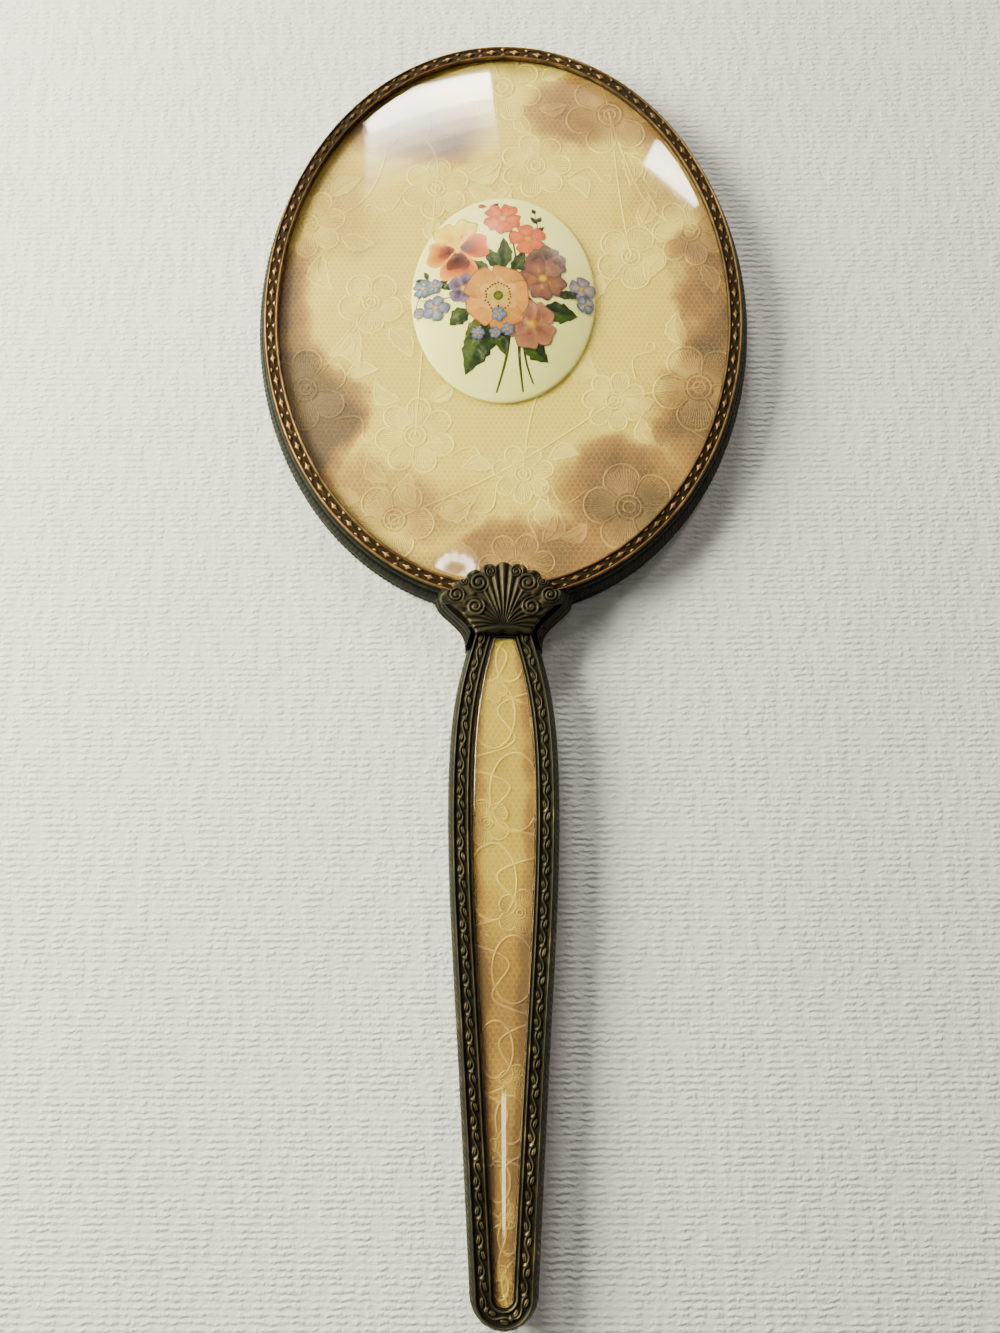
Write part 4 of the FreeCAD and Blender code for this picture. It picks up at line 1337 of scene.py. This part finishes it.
        spine = placed(length * t, 0.05 * length * np.sin(np.pi * t))
        for sign, tone in ((1, light), (-1, dark)):
            edge = placed(length * t, 0.05 * length * np.sin(np.pi * t) + sign * half)
            outline = np.vstack([spine, edge[::-1][1:-1]])
            middle = placed(np.array([0.5 * length]), np.array([sign * 0.2 * width]))[0]
            inner, outer = (tuple(share * k for k in tone) for share in (1.15, 0.8))
            self.patch(outline, middle, inner, outer, 4, 1.0, 0.12, sign > 0)
        self.stroke(spine[::3], 0.2, tuple(0.55 * k for k in dark), light, 0.7)
        for k in range(3, 14, 3):
            for sign in (1, -1):
                tip = placed(np.array([length * (t[k] + 0.1)]), np.array([sign * 0.75 * half[k]]))[0]
                self.stroke([spine[k], tip], 0.1, tuple(0.6 * q for q in dark), light, 0.8, False)


# A printed colour is INK_GAIN times the painted one to the power INK_POWER.
INK_POWER, INK_GAIN = 1.8, 0.58
DARK_GREEN, MID_GREEN, BLUE_GREEN = (0.075, 0.14, 0.045), (0.17, 0.24, 0.06), (0.09, 0.17, 0.12)
OLIVE, STEM = (0.26, 0.28, 0.07), (0.11, 0.13, 0.05)
CORAL, ROSE, PEACH = (0.68, 0.235, 0.065), (0.46, 0.12, 0.05), (0.74, 0.43, 0.16)
MAUVE, PLUM, MAROON = (0.38, 0.22, 0.22), (0.18, 0.09, 0.11), (0.14, 0.045, 0.03)
LILAC, BLUE, PALE_BLUE = (0.38, 0.33, 0.44), (0.25, 0.275, 0.40), (0.50, 0.52, 0.56)
YELLOW, NAVY = (0.88, 0.62, 0.09), (0.12, 0.14, 0.28)


def paint_greenery(p):
    """Stems and leaves, under the flowers."""
    for points, width in (
        ([(1.3, -9), (0.6, -15), (-1.5, -22.2)], 0.8),
        ([(3.3, -11), (3.5, -16), (4.2, -22.0)], 0.75),
        ([(4.2, -11), (4.9, -16), (6.4, -20.3)], 0.6),
        ([(2.9, 5), (2.3, 10), (1.3, 15)], 0.5),
        ([(2.9, 6), (4.0, 8.6), (4.9, 11)], 0.45),
        ([(6.4, 12), (7.4, 15.5), (6.8, 20.0)], 0.3),
        ([(-7, 0.6), (-11, 0.8), (-16.5, 3.4)], 0.34),
        ([(-7, -1), (-12, -1.4), (-18.0, -1.2)], 0.3),
        ([(-17.4, 0.6), (-18.8, -2.2), (-18.4, -5.6)], 0.28),
        ([(9, 0), (13, -0.8), (16.2, -0.8)], 0.4),
    ):
        p.stroke(points, width, STEM, OLIVE, 0.45)
    for x, y, angle, length, width in (
        (-0.2, 4.5, 0.02, 8.2, 3.8), (-1.0, 4.4, -0.5, 6.6, 3.4), (1.6, 4.0, 0.5, 6.2, 3.2),
        (-3.0, 3.8, -0.95, 5.4, 2.8), (3.0, 4.6, 1.0, 4.6, 2.6), (-7.4, -4.6, -2.2, 5.2, 4.6),
        (8.6, -3.8, 1.75, 7.6, 5.4), (4.8, -11.0, 2.35, 6.8, 4.8), (11.6, -1.0, 1.2, 4.0, 2.4),
        (-10.6, 0.8, -1.4, 3.4, 1.8),
    ):
        p.leaf(x, y, angle, length, width, DARK_GREEN, MID_GREEN, 4)
    p.leaf(-1.6, -7.0, -2.62, 13.2, 7.4, DARK_GREEN, MID_GREEN, 6)
    p.leaf(-3.2, -7.0, -2.25, 6.6, 4.4, DARK_GREEN, OLIVE, 4)
    p.leaf(-0.6, -8.0, 3.0, 6.6, 3.8, DARK_GREEN, MID_GREEN, 4)
    for x, y, angle, length in (
        (6.8, 19.4, -0.3, 1.6), (7.4, 17.2, 0.5, 1.8), (7.2, 16.6, -0.6, 2.4), (7.0, 14.6, 0.95, 2.5),
        (-16.4, 3.6, -0.4, 2.2), (-17.4, 3.2, -1.2, 2.0), (-18.6, -2.6, -2.9, 2.2), (-2.6, 21.3, 1.0, 2.0),
        (-2.9, 21.0, 2.0, 1.7), (-10.8, 2.6, -0.2, 2.0), (-12.0, 2.4, -1.5, 1.9),
    ):
        p.leaf(x, y, angle, length, 1.1, DARK_GREEN, BLUE_GREEN)
    p.petal(-3.6, 21.4, -1.4, 2.0, 1.5, ROSE, CORAL)


def paint_pansy(p, x, y):
    """Pansy: two yellow petals above, two at the sides and one below, with dark veined blotches."""
    for angle, reach, broad in ((-0.62, 7.2, 6.2), (0.30, 7.4, 6.2)):
        p.petal(x, y + 1, angle, reach * 1.04, broad * 1.05, (0.50, 0.36, 0.06), (0.50, 0.44, 0.10), 0.3, 1.5)
        p.petal(x, y + 1, angle, reach, broad, (0.80, 0.42, 0.05), (0.86, 0.78, 0.13), 0.3, 0.6)
    for angle, tone in ((-1.55, (0.84, 0.56, 0.07)), (1.25, (0.82, 0.34, 0.05))):
        p.petal(x, y - 0.3, angle, 7.0, 8.2, (0.40, 0.10, 0.04), tone, 0.3, 1.1)
        p.petal(x, y, angle, 4.2, 4.4, MAROON, (0.50, 0.16, 0.05), 0.2, 0.9)
    p.petal(x, y + 0.4, 3.1, 8.0, 10.4, (0.40, 0.08, 0.03), (0.86, 0.50, 0.07), 0.5, 1.4)
    p.petal(x, y, 3.1, 5.0, 6.6, MAROON, (0.36, 0.10, 0.04), 0.4, 1.4)
    for b in np.linspace(2.1, 4.1, 15):
        tip = (x + 4.7 * math.sin(b), y - 0.4 + 4.7 * math.cos(b))
        p.stroke([(x, y - 0.4), tip], 0.3, MAROON, (0.40, 0.12, 0.05), 0.9, False)
    for b in (-1.9, -1.7, -1.5, -1.3, 1.1, 1.3, 1.5, 1.7):
        tip = (x + 4.2 * math.sin(b), y + 4.2 * math.cos(b))
        p.stroke([(x, y), tip], 0.28, MAROON, (0.45, 0.14, 0.05), 0.9, False)
    p.dot(x, y + 0.2, 0.8, (0.92, 0.80, 0.30), (0.75, 0.5, 0.1))


def paint_wild_rose(p, x, y):
    """Wild rose: five petals, a pale middle and a ring of stamens."""
    p.flower(x, y, 7.6, 5, 0.35, (0.66, 0.50, 0.14), PEACH, OLIVE, 1.0, 1.1, (0.58, 0.24, 0.10))
    a = ring_angles(48)
    r = 3.9 * (1 + 0.12 * np.cos(6 * a))
    middle = np.stack([x + r * np.sin(a), y + r * np.cos(a)], 1)
    p.patch(middle, (x, y), (0.62, 0.60, 0.20), (0.82, 0.48, 0.24), 6, 1.3)
    for k in range(26):
        a = 2 * math.pi * k / 26
        r = 2.3 + 0.9 * p.pick.random()
        root, tip = ((x + q * math.sin(a), y + q * math.cos(a)) for q in (0.8, r))
        p.stroke([root, tip], 0.1, OLIVE, (0.5, 0.34, 0.1), 0.4, k == 0)
        p.dot(*tip, 0.24, (0.16, 0.08, 0.03), (0.28, 0.16, 0.05), k == 0)
    p.dot(x, y, 1.1, (0.36, 0.38, 0.08), (0.16, 0.18, 0.05))


def build_bouquet():
    """Printed bouquet in the usual mixed garden style."""
    p = Paint()
    paint_greenery(p)
    p.flower(-0.2, 17.8, 4.4, 5, 0.5, (0.80, 0.36, 0.16), CORAL, YELLOW, 0.86, 0.5, ROSE)
    p.flower(5.3, 12.4, 4.3, 5, 1.0, (0.82, 0.36, 0.16), (0.70, 0.25, 0.08), YELLOW, 0.82, 0.5, ROSE)
    paint_pansy(p, -9.9, 9.6)
    p.flower(9.2, 6.2, 4.6, 5, 0.2, PLUM, (0.36, 0.26, 0.20), OLIVE, 0.95, 0.3, PLUM)
    p.flower(8.4, 2.7, 5.2, 5, 0.7, (0.58, 0.34, 0.14), MAUVE, YELLOW, 0.92, 0.4, PLUM)
    p.flower(3.8, -5.4, 3.8, 5, 0.5, MAROON, PLUM, YELLOW, 0.95, 0.2, MAROON)
    p.flower(6.0, -7.8, 5.6, 5, 0.9, (0.42, 0.20, 0.16), (0.60, 0.38, 0.27), YELLOW, 0.92, 0.5, MAUVE)
    p.flower(-8.6, 0.4, 3.4, 5, 0.3, PLUM, (0.38, 0.32, 0.48), YELLOW, 0.9, 0.3, PLUM)
    paint_wild_rose(p, -1.1, -1.7)
    for x, y, size in ((-17.4, 1.6, 2.3), (-14.7, -3.4, 3.0), (-14.9, 1.6, 1.9), (-18.3, -4.0, 1.3)):
        p.flower(x, y, size, 5, x, PALE_BLUE, BLUE, YELLOW, 0.82, 0.2, NAVY)
    p.flower(16.9, 1.4, 3.0, 4, 0.2, (0.64, 0.62, 0.56), LILAC, YELLOW, 0.85, 0.3, BLUE)
    p.flower(17.7, -2.2, 2.2, 4, 0.9, (0.60, 0.60, 0.60), BLUE, YELLOW, 0.85, 0.3, NAVY)
    p.leaf(13.4, -0.9, 1.2, 2.8, 1.9, DARK_GREEN, BLUE_GREEN, 3)
    for x, y, size in ((-5.5, -9.9, 1.6), (-1.8, -9.9, 1.3), (-1.1, -5.9, 1.7), (0.9, -9.2, 1.5)):
        p.flower(x, y, size, 5, y, PALE_BLUE, BLUE, YELLOW, 0.82, 0.1, NAVY)
    ink = INK_GAIN * np.array(p.ink) ** INK_POWER
    add_mesh("bouquet_print", p.verts, p.faces, INK, ink=ink)


# ---------------------------------------------------------------- stage, lights and camera
FLOOR_HALF, FLOOR_POINTS = 1.6, 40
FLOOR_DROP = 0.00005


def build_stage():
    """Pale paper under the mirror."""
    mesh = bpy.data.meshes.new("floor")
    xs = np.linspace(-FLOOR_HALF, FLOOR_HALF, FLOOR_POINTS)
    mesh.from_pydata([(x, y, 0.0) for y in xs for x in xs], [], grid_faces(FLOOR_POINTS, FLOOR_POINTS))
    mesh.update()
    mesh.materials.append(paper_floor("paper"))
    floor = bpy.data.objects.new("floor", mesh)
    floor.location.z = -FLOOR_DROP
    bpy.context.scene.collection.objects.link(floor)


WARM, CLEAR, PAPER_WHITE = (1.0, 0.94, 0.74), (1.0, 0.94, 0.84), (1.0, 1.04, 0.76)
SKY_COLOUR, SKY_STRENGTH = (1.0, 0.93, 0.88, 1), 0.11
WINDOW_RADIANCE = (75, 66, 27, 11, 5, 2.5)  # strips from the bottom up
WINDOW_RISE, WINDOW_TURN, STRIP_STEP = 32.75, -11.0, 2.0  # degrees
WINDOW_REACH = 1.1
RING_LAMPS, RING_REACH, RING_POWER = 12, 1.4, 0.10
RING_CENTRE = (-0.131, -0.057, 0.989)
RING_SPREAD = math.radians(4.0)
CAMERA_PLACE, CAMERA_TILT, LENS = (-0.00075, -0.04957, 0.22484), 10.299, 29.14


def area_light(name, aim, way, reach, size, power, colour, shape="RECTANGLE", spread=math.pi):
    """Area lamp a distance away from a point in mm, which it looks at. way points from there to the lamp."""
    data = bpy.data.lights.new(name, "AREA")
    data.shape, data.size, data.energy, data.color, data.spread = shape, size[0], power, colour, spread
    if shape == "RECTANGLE":
        data.size_y = size[1]
    lamp = bpy.data.objects.new(name, data)
    way = Vector(way).normalized()
    lamp.location = Vector(aim) * MM + way * reach
    lamp.rotation_mode = "QUATERNION"
    lamp.rotation_quaternion = way.to_track_quat("Z", "Y")
    bpy.context.scene.collection.objects.link(lamp)


def build_window():
    """Window in strips that fade upwards, seen in the dome, and a second pane to the right."""
    for k, radiance in enumerate(WINDOW_RADIANCE):
        rise = math.radians(WINDOW_RISE + k * STRIP_STEP)
        turn = math.radians(WINDOW_TURN - 0.4 * k)
        way = (math.sin(turn) * math.cos(rise), math.cos(turn) * math.cos(rise), math.sin(rise))
        width, height = 0.33 + 0.012 * k, 1.1 * math.radians(STRIP_STEP)
        power = math.pi * width * height * radiance
        area_light(f"window_{k}", (-16, 112, 10), way, WINDOW_REACH, (width, height), power, CLEAR)
    area_light("window_right", (38, 100, 9), (0.395, 0.699, 0.596), WINDOW_REACH, (0.17, 0.08), 2.4, CLEAR)


def build_ceiling_ring():
    """Ring lamp on the ceiling. Its narrow beam keeps it off the handle; the power keeps its brightness."""
    power = RING_POWER * (RING_SPREAD / 2) ** 2 / 3
    for k in range(RING_LAMPS):
        turn = 2 * math.pi * k / RING_LAMPS
        way = np.array(RING_CENTRE) + (0.048 * math.cos(turn), 0.024 * math.sin(turn), 0.0)
        aim, size = (-10, 10.5, 8.4), (0.03, 0.03)
        area_light(f"ceiling_ring_{k}", aim, way, RING_REACH, size, power, CLEAR, "DISK", RING_SPREAD)


def build_lights():
    """Soft key from the left, the window, the ceiling lamps, and a faint sky."""
    build_window()
    area_light("key_left", (0, 20, 0), (-0.84, 0.22, 0.50), 0.56, (0.30, 0.30), 11.3, PAPER_WHITE)
    build_ceiling_ring()
    area_light("ceiling_strip", (-1, -109, 9), (0.0, -0.265, 0.964), 1.4, (0.11, 0.17), 0.7, WARM)
    world = bpy.data.worlds.new("studio")
    world.use_nodes = True
    sky = world.node_tree.nodes["Background"]
    sky.inputs["Color"].default_value = SKY_COLOUR
    sky.inputs["Strength"].default_value = SKY_STRENGTH
    bpy.context.scene.world = world


def build_camera():
    """Nearly straight down, from over the neck."""
    data = bpy.data.cameras.new("camera")
    data.lens, data.sensor_width, data.sensor_fit = LENS, 36.0, "AUTO"
    data.clip_start, data.clip_end = 0.01, 20.0
    camera = bpy.data.objects.new("camera", data)
    camera.location = CAMERA_PLACE
    camera.rotation_euler = (math.radians(CAMERA_TILT), 0.0, 0.0)
    bpy.context.scene.collection.objects.link(camera)
    bpy.context.scene.camera = camera


# ---------------------------------------------------------------- build
build_stage()
build_lights()
build_camera()
build_bezel()
build_rim()
build_silvering()
build_dome()
build_neck()
build_badge()
build_head_satin()
build_head_lace()
build_cabochon()
build_bouquet()
for side, word in ((1, "back"), (-1, "front")):
    build_handle_frame(side, f"{word}_handle_frame", f"handle_{word}_frame")
    build_handle_cover(side, f"{word}_handle_cover", f"handle_{word}_cover")
    build_handle_satin(side, f"{word}_panel_satin", f"handle_{word}_satin")
    build_handle_lace(side, f"{word}_panel_lace", f"handle_{word}_lace")

NODE_LOOKS = {"mirror_glass": GLASS, "tang": STEEL, "tang_rivets": STEEL, "handle_core": WOOD}
for card in ("mirror_backing_card", "packing_card", "cover_card", "handle_back_card", "handle_front_card"):
    NODE_LOOKS[card] = CARD
for node_name, look in NODE_LOOKS.items():
    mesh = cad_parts[node_name].data
    mesh.materials.clear()
    mesh.materials.append(look)
